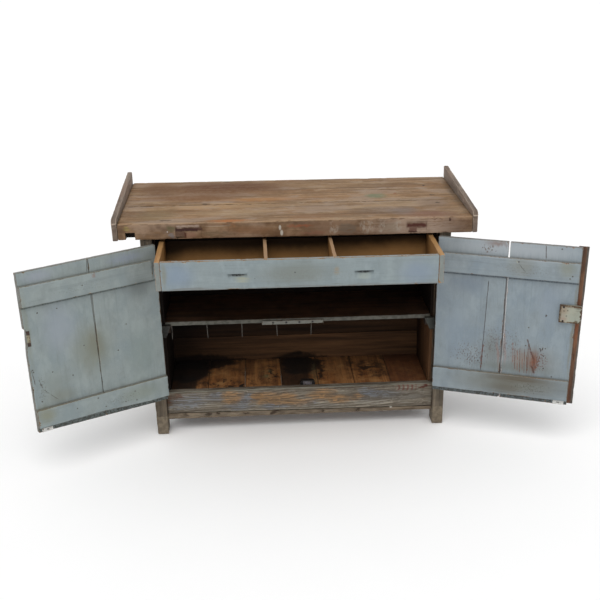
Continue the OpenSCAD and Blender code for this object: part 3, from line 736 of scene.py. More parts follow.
# %% Floor finish
def floor_finish():
    """Bare pine under soot, stains with ragged rims, broken specks, a scuff and the ring of a pot."""
    sheet = Sheet("stained_floor")
    height, own = bare(sheet, (192, 136, 82), (122, 80, 46), (184, 120, 64), ring=0.011, contrast=0.4)
    at = sheet.attribute("at")
    x, y, z = sheet.split(at)
    cloud = sheet.noise(at, 22, 5.0, 0.65)
    ragged = sheet.jitter(at, (cloud, cloud), (0.11, 0.13, 0.0))
    black = (22, 16, 13)
    soot = sheet.noise(at, 15, 5.0, 0.7)
    sheet.over(sheet.step(soot, 0.5, 0.66) * 0.6, 66, 42, 27)
    sheet.over(sheet.step(soot, 0.46, 0.34) * 0.5, 204, 156, 100)
    wet = sheet.step(x, -0.0775, -0.0755) * sheet.step(x + (cloud - 0.5) * 0.08, 0.06, 0.03)
    sheet.over(wet * 0.85, *black)
    for centre, size, strength in FLOOR_STAINS:
        stain = sheet.spot(ragged, (*centre, FLOOR_Z), (*size, 60), 0.25)
        sheet.over(stain * strength, *black)
    specks = sheet.step(sheet.noise(at, 46, 4.0, 0.7), 0.52, 0.6)
    for centre, size, strength in FLOOR_SPECKS:
        near = sheet.spot(at, (*centre, FLOOR_Z), (*size, 60), 0.5)
        sheet.over(specks * near * strength, *black)
    scuff = sheet.spot(at, (-140, 190, FLOOR_Z), (44, 60, 40), 0.8) * sheet.step(cloud, 0.44, 0.6)
    sheet.over(scuff * 0.85, 140, 142, 102)
    ring = sheet.vector("DISTANCE", sheet.vector("MULTIPLY", ragged, (1, 0.72, 0)), (0.312, 0.152, 0))
    ring = sheet.step(abs(ring - 0.058), 0.02, 0.006)
    sheet.over(ring * sheet.step(cloud, 0.4, 0.52) * 0.65, 44, 28, 19)
    sheet.over(sheet.spot(ragged, (66, 180, FLOOR_Z), (12, 150, 40), 0.5) * 0.6, 96, 88, 62)
    sheet.over(sheet.step(x, 0.37, 0.39) * 0.7, 98, 56, 33)
    # Darker towards the back wall.
    sheet.over(sheet.step(y + (cloud - 0.5) * 0.1, 0.29, 0.37) * 0.35, *black)
    distance = sheet.split(sheet.attribute("wear"))[0]
    sheet.over(sheet.step(distance, 2.5, 0.3) * 0.4, 112, 88, 66)
    return sheet.lay(0.66 + (cloud - 0.5) * 0.4, height, 0.0005)


FLOOR_STAINS = [
    ((-480, 260), (130, 150), 0.97), ((-430, 330), (200, 70), 0.95), ((-490, 100), (76, 120), 0.9),
    ((10, 270), (90, 110), 0.9), ((20, 320), (120, 40), 0.8), ((-292, 66), (16, 14), 0.9),
    ((-238, 74), (22, 17), 0.95), ((-203, 62), (14, 12), 0.85), ((305, 225), (62, 26), 0.8),
    ((230, 300), (14, 80), 0.6), ((470, 330), (120, 60), 0.6), ((92, 240), (14, 140), 0.8)]
FLOOR_SPECKS = [
    ((-118, 190), (46, 120), 1.0), ((-190, 120), (60, 60), 0.7), ((-340, 110), (120, 60), 0.9),
    ((100, 230), (30, 160), 0.9), ((330, 190), (90, 110), 0.6), ((-480, 90), (60, 60), 0.9),
    ((460, 150), (60, 90), 0.5)]
FLOOR = floor_finish()
print("floor finish has", len(FLOOR.node_tree.nodes), "nodes")

# %% [markdown]
# ## The bottom rail
# Feet have worn the rail more than any other board. Its soft wood has gone and the hard rings stand up in
# long waves. Orange bare wood shows between rests of blue paint.

# %% Rail finish
def rail_finish():
    """Grain that sways along the rail, patches of paint and bare wood, the glued strip and its knots."""
    sheet = Sheet("worn_rail", Specular_IOR_Level=0.2)
    own, rings, streaks, fibres = figure(sheet, 0.0085, 0.05)
    at = sheet.attribute("at")
    x, y, z = sheet.split(at)
    sway = sheet.noise(at, (15, 15, 24), 2.0) - 0.5
    own = sheet.vector("ADD", own, sheet.node("CombineXYZ", {1: sway * 0.035, 2: sway * 0.035}))
    cloud = sheet.noise(at, (22, 22, 60), 4.0, 0.65)
    waves = sheet.step(sheet.noise(own, (7, 150, 150), 4.0, 0.6), 0.4, 0.6)
    sheet.colour = sheet.mix(streaks, srgb(121, 113, 101), srgb(167, 159, 143))
    ragged = sheet.jitter(at, (cloud, None, cloud), (0.10, 0.0, 0.045))
    for tint, strength, patches in RAIL_PATCHES:
        rows = [((px, 20, pz), (wide, ANY, high), tint, strength) for px, pz, wide, high in patches]
        sheet.marks(rows, ragged, 0.6, 0.5 + waves * 0.5)
    sheet.over(rings * 0.5, 70, 58, 48)
    sheet.over((1 - waves) * 0.5, 72, 60, 48)
    seam = z + x * SEAM_FALL - SEAM_Z * MM
    strip = sheet.mix(sheet.step(cloud, 0.4, 0.6), srgb(104, 90, 74), srgb(136, 120, 100))
    sheet.colour = sheet.mix(sheet.step(seam, 0.001, -0.001) * 0.75, sheet.colour, strip)
    sheet.marks([((px, 20, pz), (18, ANY, 10), (46, 32, 24), 0.85) for px, pz in RAIL_KNOTS], ragged, 0.7)
    line = sheet.step(abs(seam), 0.0022, 0.0006)
    sheet.over(line * 0.8, 46, 38, 32)
    bow = sheet.vector("LENGTH", sheet.node("CombineXYZ", {0: x - 0.388, 1: (z - 0.165) * 1.5}))
    arcs = sheet.step(abs(sheet.math("FRACT", bow * (1 / 0.018)) - 0.5), 0.3, 0.12)
    sheet.over(arcs * sheet.bar(x, z, 398, 486, 151, 178, 4.0) * 0.6, 104, 50, 42)
    sheet.over(sheet.spot(ragged, (520, 20, 168), (17, ANY, 9)) * 0.9, 84, 34, 24)
    sheet.over(sheet.spot(at, (380, 20, 76), (7, ANY, 4)), 208, 204, 194)
    sheet.over((1 - sheet.step(fibres, 0.3, 0.5)) * 0.6, 44, 36, 30)
    distance = sheet.split(sheet.attribute("wear"))[0]
    sheet.over(sheet.step(distance, 4, 1) * sheet.step(z, 0.15, 0.18) * 0.8, 136, 140, 128)
    height = fibres + rings * 0.9 + waves * 0.8 - line * 3
    return sheet.lay(0.75 + (cloud - 0.5) * 0.3, height, 0.0010)


RAIL_PATCHES = [
    (
        (124, 133, 144), 0.7,
        (
            (-470, 135, 110, 46), (-359, 149, 40, 32), (-228, 140, 44, 34), (-262, 106, 80, 24),
            (272, 155, 60, 20), (330, 135, 100, 26), (-110, 100, 80, 16), (30, 112, 60, 14))),
    (
        (176, 134, 88), 0.8,
        (
            (-292, 148, 60, 42), (-110, 138, 120, 38), (95, 145, 80, 38), (-10, 116, 80, 22),
            (236, 128, 36, 20), (160, 120, 60, 28), (-180, 150, 40, 20))),
    ((104, 70, 48), 0.85, ((-510, 160, 46, 18), (-545, 140, 20, 40))),
    ((138, 136, 130), 0.5, ((300, 110, 120, 26), (430, 130, 120, 44), (60, 96, 160, 14)))]
RAIL_KNOTS = ((-479, 75), (-397, 69), (-351, 75), (-235, 72), (-110, 74), (89, 70), (234, 68))
RAIL = rail_finish()
print("rail finish has", len(RAIL.node_tree.nodes), "nodes")

# %% [markdown]
# ## Old paint
# The doors and the drawer front have one thin coat of blue-grey paint over pine. Paint goes first at the
# edges and wherever a chip is gone. The rim of a chip shows a pale undercoat. Slow clouds make the coat
# uneven, and grain shows through as faint lines.

# %% Paint recipe
def painted(name, coat, cool, wood, blemishes=(), rules=(), strokes=(), speckles=(), wear=1.0,
            undercoat=(186, 176, 154), bare_above=None, outside=()):
    """Wood under a coat that fails at edges and chips, and above a height if one is given.
    Blemishes, rules and speckles: centre, size, colour, strength in the member's frame; the first are
    ragged, the second sharp, the third broken into specks. Strokes: x, z of both ends, half width,
    colour, darkness of the core, wobble. A door has blemishes of its outside, and then the others stay
    on its inner face."""
    sheet = Sheet(name, Specular_IOR_Level=0.35)
    relief, own = bare(sheet, wood, times(wood, 0.6), times(wood, 0.9), contrast=0.4)
    under = sheet.colour
    at = sheet.attribute("at")
    x, y, z = sheet.split(at)
    cloud = sheet.noise(at, (8, 8, 6), 5.0, 0.6)
    grit = sheet.noise(at, (190, 190, 150), 3.0, 0.6)
    lines = sheet.noise(own, (7, 200, 200), 4.0, 0.65)
    bloom = sheet.noise(at, (26, 26, 17), 4.0, 0.6)
    runs = sheet.noise(own, (2.4, 52, 52), 3.0, 0.6)
    sheet.colour = sheet.mix(sheet.step(cloud, 0.38, 0.64), srgb(*coat), srgb(*cool))
    for noise, start, end, strength, tint, share in (
            (cloud, 0.44, 0.3, 0.4, coat, 0.88), (lines, 0.44, 0.28, 0.4, coat, 0.8),
            (grit, 0.54, 0.68, 0.16, coat, 1.12), (grit, 0.36, 0.24, 0.35, coat, 0.6),
            (bloom, 0.48, 0.66, 0.45, coat, 1.08), (bloom, 0.46, 0.3, 0.45, coat, 0.88),
            (runs, 0.46, 0.32, 0.22, cool, 0.86)):
        sheet.over(sheet.step(noise, start, end) * strength, *times(tint, share))
    inner = sheet.step(y, 0.012, 0.018) if outside else 1.0
    ragged = sheet.jitter(at, (cloud, grit, lines), (0.05, 0.0, 0.05))
    sheet.marks(blemishes, ragged, 0.9, inner)
    sheet.marks(outside, ragged, 0.9, 1 - inner)
    for centre, size, tint, strength in speckles:
        mark = sheet.spot(ragged, centre, size, 0.8) * inner
        small = sheet.step(grit + (mark - 1) * 0.25 + (lines - 0.5) * 0.4, 0.53, 0.61)
        sheet.over(small * mark * strength, *tint)
    sheet.marks(rules, at, 0.7, 0.55 + sheet.step(grit, 0.36, 0.6) * 0.45)
    distance, chip, end = sheet.split(sheet.attribute("wear"))
    near = sheet.step(distance, 5.0 * wear, 0.4)
    lost = near * 0.55 + chip * 1.1 + (grit - 0.5) * 1.6 + (cloud - 0.5) * 1.0
    if bare_above:
        lost = lost + sheet.step(z, (bare_above - 0.8) * MM, (bare_above + 0.4) * MM) * 0.45
    gone = sheet.step(lost, 0.54, 0.64)
    sheet.over(sheet.step(lost, 0.42, 0.52) * 0.5, *undercoat)
    sheet.colour = sheet.mix(gone, sheet.colour, under)
    height = (1 - gone) * 0.6 + relief * 0.35 + lines * 0.5
    waver = sheet.noise(at, (5, 5, 38), 3.0) - 0.5
    for (x0, z0, x1, z1), half, tint, core, wobble in strokes:
        slope = (x1 - x0) / (z1 - z0)
        off = abs(x - (x0 - slope * z0) * MM - z * slope + waver * (wobble * MM))
        low, high, fade = min(z0, z1) * MM, max(z0, z1) * MM, min(8, 0.3 * abs(z1 - z0)) * MM
        span = sheet.step(z, low, low + fade) * inner * sheet.step(z, high, high - fade)
        halo = sheet.step(off, half * MM * 2.2, half * MM * 0.5) * span * sheet.step(grit, 0.36, 0.56)
        sheet.over(halo * 0.75, *tint)
        if core:
            line = sheet.step(off, half * MM, half * MM * 0.3) * span
            sheet.over(line * core, 34, 28, 26)
            height = height - line * 1.5
    return sheet.lay(0.5 + gone * 0.25 + (cloud - 0.5) * 0.3, height, 0.0005)


print("paint recipe ready")

# %% [markdown]
# ## Marks and painted shade on the doors
# Dirt gathers along each batten's top edge. A shadow is painted under the upper batten, along its lower edge
# and at its end, and below the lower batten the boards' feet are laid dark as painted shade. Each list below
# is in its door's frame, in millimetres.

# %% Marks of both doors
BATTEN_FACE, BOARD_FACE = 36.5, 22.5


def batten_dirt_and_shade(top_tint, under_batten_shadow_tint, foot_shade_tint):
    """Rules along both battens' edges, at the upper one's end, over the door's foot, head and free edge:
    dirt on the top edges, painted shadow under the upper batten and at its end, painted shade on the foot.
    """
    return [((275, 30, 764), (ANY, 12, 2.6), top_tint, 0.8), ((275, 30, 282), (ANY, 12, 3), top_tint, 0.85),
            ((275, 23, 681), (ANY, 20, 7), under_batten_shadow_tint, 0.85), ((275, 36, 686), (ANY, 8, 3), under_batten_shadow_tint, 0.6),
            ((22, 23, 724), (5, 6, 42), under_batten_shadow_tint, 0.8), ((275, 23, 172), (ANY, 8, 44), foot_shade_tint, 1.0),
            ((275, 12, 821), (ANY, ANY, 2.5), (96, 86, 70), 0.7),
            ((551, 12, 500), (3.5, ANY, ANY), (84, 74, 60), 0.8)]


def outside_wear(hand):
    """The unseen face: rain has washed its foot, and hands have rubbed it beside the lock."""
    return [((275, 4, 190), (ANY, ANY, 60), (104, 106, 96), 0.8), ((520, 4, 560), (60, ANY, 90), hand, 0.7),
            ((200, 4, 600), (160, ANY, 140), (150, 158, 158), 0.5),
            ((330, 4, 380), (90, ANY, 160), hand, 0.35)]


left_blemishes = [
    ((300, 22, 470), (120, ANY, 150), (126, 126, 104), 0.5),
    ((288, 22, 480), (50, ANY, 90), (112, 108, 86), 0.4),
    ((80, 24, 670), (90, ANY, 80), (106, 114, 114), 0.8),
    ((420, 22, 580), (100, ANY, 150), (148, 157, 166), 0.7),
    ((100, 22, 400), (100, ANY, 150), (132, 144, 140), 0.6),
    ((460, 22, 360), (90, ANY, 90), (128, 136, 130), 0.5),
    ((540, 22, 600), (16, ANY, 220), (126, 128, 108), 0.4),
    ((520, 30, 250), (60, ANY, 60), (132, 128, 92), 0.5),
    ((120, 36, 240), (130, 30, 50), (126, 134, 120), 0.5),
    ((267, 36, 750), (11, 16, 9), (140, 104, 92), 0.6),
    ((440, 22, 310), (90, ANY, 46), (122, 124, 112), 0.5),
    ((470, 22, 790), (90, ANY, 40), (150, 156, 168), 0.6),
    ((120, 22, 790), (110, ANY, 30), (140, 150, 168), 0.6)]
left_strokes = [
    ((281, 685, 276, 275), 0.8, (96, 88, 76), 0.8, 5),
    ((281, 822, 284, 763), 0.8, (96, 88, 76), 0.8, 3),
    ((522, 400, 512, 358), 0.9, (90, 84, 74), 0.6, 2),
    ((512, 358, 488, 331), 0.9, (90, 84, 74), 0.6, 2),
    ((488, 331, 456, 298), 0.9, (90, 84, 74), 0.5, 2), ((545, 445, 538, 380), 1.2, (90, 84, 74), 0.5, 4)]
LEFT_PAINT = painted(
    "left_door_paint", (143, 153, 152), (134, 146, 148), (126, 98, 68), blemishes=left_blemishes,
    strokes=left_strokes, outside=outside_wear((126, 126, 112)), wear=0.65,
    rules=batten_dirt_and_shade((112, 100, 78), (62, 72, 66), (54, 57, 51)),
    speckles=[
        ((520, 22, 360), (60, ANY, 120), (84, 80, 70), 0.5),
        ((200, 36, 235), (180, 30, 44), (86, 88, 78), 0.5),
        ((300, 36, 720), (240, 30, 44), (98, 102, 96), 0.35)])
right_blemishes = [
    ((400, 22, 345), (150, ANY, 95), (122, 121, 115), 0.6),
    ((405, 22, 345), (34, ANY, 70), (118, 82, 64), 0.9),
    ((350, 22, 345), (66, ANY, 72), (126, 110, 98), 0.55),
    ((240, 22, 375), (70, ANY, 120), (114, 118, 114), 0.65),
    ((290, 22, 795), (420, ANY, 60), (164, 171, 176), 0.9),
    ((120, 22, 640), (120, ANY, 60), (112, 124, 136), 0.6),
    ((288, 22, 390), (8, ANY, 130), (150, 124, 116), 0.5),
    ((262, 22, 360), (8, ANY, 90), (146, 108, 96), 0.45),
    ((230, 22, 812), (70, ANY, 16), (128, 104, 94), 0.7),
    ((330, 36, 732), (90, 16, 60), (128, 130, 122), 0.6),
    ((500, 36, 740), (60, 16, 50), (128, 128, 104), 0.5),
    ((340, 36, 245), (360, 16, 90), (106, 104, 90), 0.75),
    ((350, 36, 268), (200, 16, 26), (88, 78, 62), 0.8),
    ((300, 36, 225), (90, 16, 40), (92, 86, 74), 0.6),
    ((320, 22, 310), (240, ANY, 34), (106, 112, 106), 0.6),
    ((450, 22, 600), (80, ANY, 120), (138, 150, 162), 0.5),
    ((80, 22, 450), (80, ANY, 200), (136, 150, 162), 0.5),
    ((546, 22, 500), (10, ANY, 320), (116, 108, 84), 0.6)]
orange, raw = (128, 78, 56), (104, 60, 42)
right_strokes = [
    ((206, 664, 196, 278), 1.1, (98, 82, 76), 0.95, 5),
    ((200, 400, 196, 290), 2.4, (120, 72, 60), 0.4, 6),
    ((414, 820, 418, 764), 1.3, (110, 92, 78), 0.9, 3), ((373, 440, 392, 385), 2.4, raw, 0.5, 1),
    ((390, 392, 406, 350), 4.0, raw, 0.35, 2), ((404, 362, 413, 304), 6.0, orange, 0.3, 3),
    ((398, 330, 412, 292), 4.0, raw, 0.5, 3), ((421, 352, 414, 310), 2.4, orange, 0.3, 2),
    ((427, 402, 431, 388), 2.2, (84, 56, 42), 0.8, 0),
    ((438, 410, 434, 394), 2.0, (84, 56, 42), 0.8, 0),
    ((438, 548, 437, 534), 1.6, (60, 60, 60), 0.8, 0),
    ((319, 744, 349, 710), 1.0, (96, 100, 96), 0.6, 2),
    ((306, 759, 316, 742), 1.2, (170, 168, 150), 0.0, 2), ((380, 420, 384, 300), 1.4, orange, 0.4, 3)]
right_strokes += [((x, top, x + 6, low), 1.1, orange, core, 3) for x, top, low, core in
                  ((318, 420, 330, 0.0), (328, 396, 300, 0.3), (338, 392, 296, 0.0), (348, 400, 290, 0.4),
                   (358, 380, 300, 0.0), (366, 396, 288, 0.3), (376, 372, 288, 0.5))]
RIGHT_PAINT = painted(
    "right_door_paint", (138, 149, 154), (130, 143, 152), (134, 92, 66), blemishes=right_blemishes,
    strokes=right_strokes, outside=outside_wear((124, 124, 116)), wear=0.65,
    rules=batten_dirt_and_shade((118, 104, 80), (62, 72, 80), (58, 60, 55)),
    speckles=[
        ((150, 22, 350), (150, ANY, 120), (84, 68, 60), 0.7),
        ((270, 22, 410), (170, ANY, 150), (90, 78, 72), 0.6),
        ((430, 22, 350), (70, ANY, 90), (96, 62, 48), 0.9),
        ((200, 22, 790), (90, ANY, 30), (96, 74, 60), 0.8),
        ((400, 36, 235), (200, 30, 50), (78, 74, 64), 0.8),
        ((330, 36, 724), (240, 30, 50), (98, 98, 90), 0.4)])
print("door paints have", len(LEFT_PAINT.node_tree.nodes), "and", len(RIGHT_PAINT.node_tree.nodes), "nodes")

# %% [markdown]
# The drawer's front, the lock, the shelf's strip and its brackets have coats of their own, worn more or
# less. The cover strip and the joint's spline are nearly bare. All come from the two recipes above.

# %% Other painted finishes
DRAWER_PAINT = painted(
    "drawer_paint", (138, 149, 151), (131, 143, 146), (158, 118, 78), bare_above=821,
    blemishes=[
        ((-450, -267, 770), (90, ANY, 70), (126, 142, 160), 0.7),
        ((430, -267, 760), (110, ANY, 70), (130, 144, 160), 0.7),
        ((-20, -267, 770), (200, ANY, 70), (122, 128, 123), 0.85),
        ((-215, -262, 752), (46, ANY, 18), (156, 158, 136), 0.7),
        ((232, -262, 750), (38, ANY, 20), (150, 158, 150), 0.7),
        ((130, -267, 775), (14, ANY, 22), (146, 130, 104), 0.6),
        ((-495, -267, 770), (16, ANY, 60), (128, 126, 104), 0.6),
        ((0, -267, 716), (ANY, ANY, 6), (112, 106, 100), 0.5)],
    rules=[
        # Painted shadow: the dark line under each grip's straight edge.
        ((-231, -262, 765), (40, ANY, 8), (22, 20, 19), 1.0),
        ((231, -262, 765), (40, ANY, 8), (22, 20, 19), 1.0),
        ((-22, -267, 771), (4, ANY, 4), (30, 26, 24), 1.0),
        ((-169, -267, 752), (2.5, ANY, 2.5), (40, 34, 30), 0.9)],
    speckles=[((0, -267, 760), (500, ANY, 60), (112, 112, 104), 0.22)], wear=0.5)
SIDE_PAINT = painted(
    "drawer_side_ends", (130, 136, 132), (122, 126, 122), (150, 112, 86), wear=1.4,
    undercoat=(186, 166, 158))
CLOUTS = (-104.5, -51.5, 1.5, 54.5)
STOP_PAINT = painted(
    "shelf_paint", (122, 122, 115), (112, 113, 106), (90, 70, 52), wear=0.8,
    rules=[((x, 32, 466), (7, ANY, 7), (34, 28, 25), 1.0) for x in CLOUTS])
BRACKET_PAINT = painted(
    "bracket_paint", (62, 65, 60), (54, 57, 52), (50, 40, 32), wear=1.0, undercoat=(96, 92, 82),
    # Painted shade: the left bracket is laid nearly black.
    rules=[((-520, 22, 445), (36, ANY, 90), (28, 23, 19), 1.0)])
LOCK_PAINT = painted(
    "lock_paint", (160, 160, 144), (152, 158, 146), (100, 76, 54), wear=2.2, undercoat=(118, 96, 72),
    blemishes=[
        ((500, 36, 594), (80, ANY, 9), (112, 92, 70), 0.9),
        ((560, 36, 588), (24, ANY, 10), (88, 76, 56), 0.9),
        ((500, 36, 575), (32, ANY, 26), (148, 130, 110), 0.8),
        ((502, 36, 542), (26, ANY, 24), (156, 136, 120), 0.8)],
    rules=[
        ((488, 36, 560), (11, ANY, 60), (84, 72, 48), 1.0),
        ((505, 36, 573), (4.5, ANY, 4), (70, 64, 44), 0.9),
        ((519, 36, 576), (4, ANY, 4), (84, 84, 66), 0.9),
        ((516, 36, 553), (4, ANY, 5), (88, 92, 82), 0.9),
        ((554, 36, 533), (11, ANY, 7), (86, 74, 50), 0.9)])
STRIP = two_tone(
    "bare_cover_strip", ((138, 98, 70), (76, 54, 43), (142, 84, 56)), (98, 93, 86), 0, 0.5635, 0.5665,
    ring=0.005, grime=0.45)
SPLINE = weathered("joint_spline", (128, 134, 138), (80, 80, 80), (126, 118, 114), ring=0.004)
print("drawer, shelf, lock and strip finishes made")

# %% [markdown]
# ## The drawer's inside
# Unpainted pine, bright near the front, with painted highlights on the edges there and on the dividers'
# tops, and browner towards the back as painted shade. The back wall stands in the worktop's shadow and
# fades to black upwards. This shade is laid into the finish by height, with a ragged rim.

# %% Drawer wood
def drawer_finish():
    """Bare pine with painted shade from the worktop, a darker back, and painted highlights on lit edges."""
    sheet = Sheet("drawer_pine", Specular_IOR_Level=0.12)
    height, own = bare(sheet, (190, 150, 104), (148, 108, 70), (182, 134, 84), ring=0.007, contrast=0.3)
    at = sheet.attribute("at")
    x, y, z = sheet.split(at)
    cloud = sheet.noise(at, 12, 4.0, 0.6)
    # Painted shade: browner towards the back.
    back = sheet.step(y + (cloud - 0.5) * 0.08, -0.22, -0.10)
    sheet.over(back * 0.8, 160, 122, 76)
    # Painted shade: darker at the drawer's left end, lighter towards its right.
    ends = sheet.step(x, -0.40, -0.5) * 0.02 - 0.004 - sheet.step(x, 0.1, 0.4) * 0.014
    level = z + (cloud - 0.5) * 0.03 + ends
    wall = sheet.step(y, 0.036, 0.0385)
    shade = sheet.step(level, 0.716, 0.79) * wall + sheet.step(y, -0.10, 0.04) * (1 - wall) * 0.5
    # Painted highlight: the lit tops of the dividers.
    rubbed = sheet.step(z, 0.817, 0.820) * sheet.step(abs(x), 0.14, 0.135)
    sheet.over(rubbed * 0.6, 164, 138, 114)
    sheet.over(shade * 0.95, 17, 12, 9)
    distance = sheet.split(sheet.attribute("wear"))[0]
    # Painted highlight: pale edges near the front, where the light reaches.
    sheet.over(sheet.step(distance, 2.5, 0.4) * (1 - back) * 0.4, 200, 164, 124)
    return sheet.lay(0.68 + (cloud - 0.5) * 0.3, height, 0.0004)


PINE = drawer_finish()
print("drawer wood has", len(PINE.node_tree.nodes), "nodes")

# %% [markdown]
# ## Iron
# Nails, hinges and plates are iron with rust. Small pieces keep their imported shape, and their finish reads
# Object coordinates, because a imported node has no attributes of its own.

# %% Metal finishes
def iron(name, metal, rust, amount, shine):
    """Metal with rust where a blotchy noise is low. It shines less where it is rusty."""
    sheet = Sheet(name)
    at = sheet.node("TexCoord", {}, 3)
    grain = sheet.noise(at, 700, 2.0)
    rusty = sheet.step(sheet.noise(at, 90, 4.0, 0.65) + (grain - 0.5) * 0.3, 0.62 - amount * 0.3,
                       0.68 - amount * 0.3)
    sheet.colour = sheet.mix(rusty, srgb(*metal), srgb(*rust))
    sheet.over(sheet.step(grain, 0.5, 0.66) * 0.4, *rust, share=0.5)
    sheet.tree.links.new(((1 - rusty) * shine).socket, sheet.shader.inputs["Metallic"])
    return sheet.lay(0.45 + rusty * 0.4, grain + rusty, 0.0003)


RUST = iron("rusty_iron", (86, 76, 70), (92, 58, 40), 0.9, 0.7)
STRIKE = iron("bright_strike", (116, 112, 118), (76, 66, 60), 0.35, 0.3)
BLACK = iron("black_catch", (20, 18, 18), (34, 26, 22), 0.4, 0.3)
TIN = iron("pale_catch_plate", (222, 222, 218), (150, 132, 112), 0.25, 0.1)
WIRE = iron("grey_wire", (104, 100, 94), (80, 70, 62), 0.3, 0.3)
NAIL = iron("painted_nail_heads", (96, 98, 92), (70, 60, 52), 0.5, 0.2)


def keep_finish():
    """Old pale metal with both ends eaten dark by rust."""
    sheet = Sheet.of(iron("rusted_keep", (158, 152, 128), (118, 104, 80), 0.3, 0.3))
    at = sheet.attribute("at")
    off = abs(sheet.split(at)[2] - 0.564) + (sheet.noise(at, 160, 3.0) - 0.5) * 0.012
    sheet.cover(sheet.step(off, 0.012, 0.017) * 0.95, srgb(58, 38, 32))
    return sheet.material


KEEP = keep_finish()
PALE_JOINT_FILL = weathered("pale_joint_fill", (176, 160, 134), (120, 100, 78), (160, 136, 104), ring=0.004)
print("metal finishes made")

# %% [markdown]
# ## The worktop
# Two thick planks between two higher end boards. The front plank has an old notch, cut right through its
# lower edge, and two shallow recesses where hinges sat. A recess is carved: the front face sinks by its
# depth between pairs of grid lines.

# %% Worktop planks
recesses = ((-461.5, -362.5, 834.0, 879.0), (421.5, 500.5, 844.0, 879.0))


def sink_recesses(points, normal):
    """3 mm inside each recess, on the face that looks to the front."""
    x, z = points[:, 0], points[:, 2]
    depth = np.zeros(len(points))
    for left, right, low, high in recesses:
        inside = (x > left) & (x < right) & (z > low) & (z < high)
        depth += 3.0 * inside * (normal[:, 1] < -0.9)
    return depth


def sagging(points):
    """The plank's lower edge hangs 2.5 mm lower towards the right end."""
    sag = 2.5 * ramp(points[:, 0], -250, 100) * (1 - ramp(points[:, 2], UNDER, TOP_Z))
    return points - np.outer(sag, [0, 0, 1])


rims = [[edge + gap for left, right, *_ in recesses for edge in (left, right) for gap in (-0.4, 0.4)],
        [], [edge + gap for *_, low, high in recesses for edge in (low, high) for gap in (-0.4, 0.4)]]
board("worktop_front_plank", TOP, "top_wood", (-679, FRONT_Y, UNDER), (679, 255, TOP_Z),
      name="worktop_front_skin", radius=3.0, soft=1.4, chips=2.2, ripple=0.6, pitch=(7, 9, 7), marks=rims,
      cuts=[((-650, FRONT_Y - 1, UNDER - 1), (-614, 27, 861))], carve=sink_recesses, shape=sagging)
board("worktop_rear_plank", TOP, "top_wood", (-679, 256, UNDER), (679, 659, TOP_Z),
      name="worktop_rear_skin", radius=2.5, soft=1.4, chips=1.5, ripple=0.8, pitch=(8, 12, 12))
ready("worktop planks", "worktop")

# %% [markdown]
# The end boards are cut to an outline: round at the front, then rising towards the wall. The block is
# built straight and its height scaled, so the grain follows the slope.

# %% End boards
def sloped_end(points):
    """Height is scaled to the outline: a quarter circle of 26 mm at the front, then a straight rise."""
    bottom, tall = UNDER - 3.0, TOP_Z + 48.0
    y = points[:, 1] - FRONT_Y
    nose = TOP_Z + 20 - 26 + np.sqrt(np.clip(26 ** 2 - (26 - np.clip(y, 0, 26)) ** 2, 0, None))
    crown = np.where(y < 26, nose, TOP_Z + 20 + 28 * ramp(y, 26, 672))
    share = (points[:, 2] - bottom) / (tall - bottom)
    return np.stack([points[:, 0], points[:, 1], bottom + share * (crown - bottom)], axis=1)


nose_lines = FRONT_Y + 26 * (1 - np.cos(np.radians(np.arange(20, 90, 10))))
for side, x in (("left", -700), ("right", 679)):
    board(f"end_board_{side}", END, "end_wood", (x, FRONT_Y, UNDER - 3), (x + 21, 659, TOP_Z + 48), grain=1,
          radius=3.5, soft=1.6, chips=2.2, ripple=0.5, pitch=(6, 9, 9), marks=((), nose_lines, ()),
          shape=sloped_end)
ready("end boards", "end_board")

# %% [markdown]
# ## The cabinet
# Posts, rail, panels and boards. The front posts have a scarf joint above the foot, a fine dark line all
# round, which is carved as a groove. The rail gets the finest grid, because its grain stands up.

# %% Posts
def scarf_groove(points, normal):
    """1.4 mm deep where the foot was spliced on, 82 mm above the floor."""
    return 1.4 * (np.abs(points[:, 2] - 82) < 0.9) * (np.abs(normal[:, 2]) < 0.5)


for name, x, y, deep in (("front_left", -600, 0, 79), ("front_right", INNER, 0, 79),
                         ("rear_left", -600, 300, 60), ("rear_right", INNER, 300, 60)):
    board(f"post_{name}", POST, "post_wood", (x, y, 0), (x + 46, y + deep, UNDER), grain=2, radius=2.5,
          soft=1.2, chips=2.4, ripple=0.5, pitch=(8, 10, 9), marks=((), (), (80.6, 81.4, 82.6, 83.4)),
          carve=scarf_groove if "front" in name else None)
ready("posts", "post")

# %% [markdown]
# Only the hard rings of the rail are left. The same noise could be a bump in the finish, but a real relief
# also shows in the rail's outline, so it is carved.

# %% Bottom rail
def raised_grain(points, normal):
    """Up to 1.8 mm, by noise drawn out along the rail, and a seam 2 mm deep where a strip was glued on."""
    bent = points + np.outer(22 * fractal(points / [55, 60, 60], 78, 2), [0, 0, 1])
    waves = fractal(bent / [95, 40, 7], 77, 3)
    seam = np.abs(points[:, 2] + SEAM_FALL * points[:, 0] - SEAM_Z) < 1.5
    return (1.8 * (1 - ramp(waves, 0.3, 0.7)) + 2.0 * seam) * (np.abs(normal[:, 1]) > 0.5)


board("bottom_rail", RAIL, "rail_wood", (-INNER, 20, 58), (INNER, 52, 182), radius=3.0, soft=2.2, chips=2.5,
      pitch=(5, 8, 3), carve=raised_grain)
ready("rail", "bottom_rail")

# %% [markdown]
# Two panels close the sides and lap round the rail. Five boards lie across the back and seven run from
# front to back as the floor, on two bearers. Four of their joints hold dark dirt and two a pale fill that
# shows as a light line.

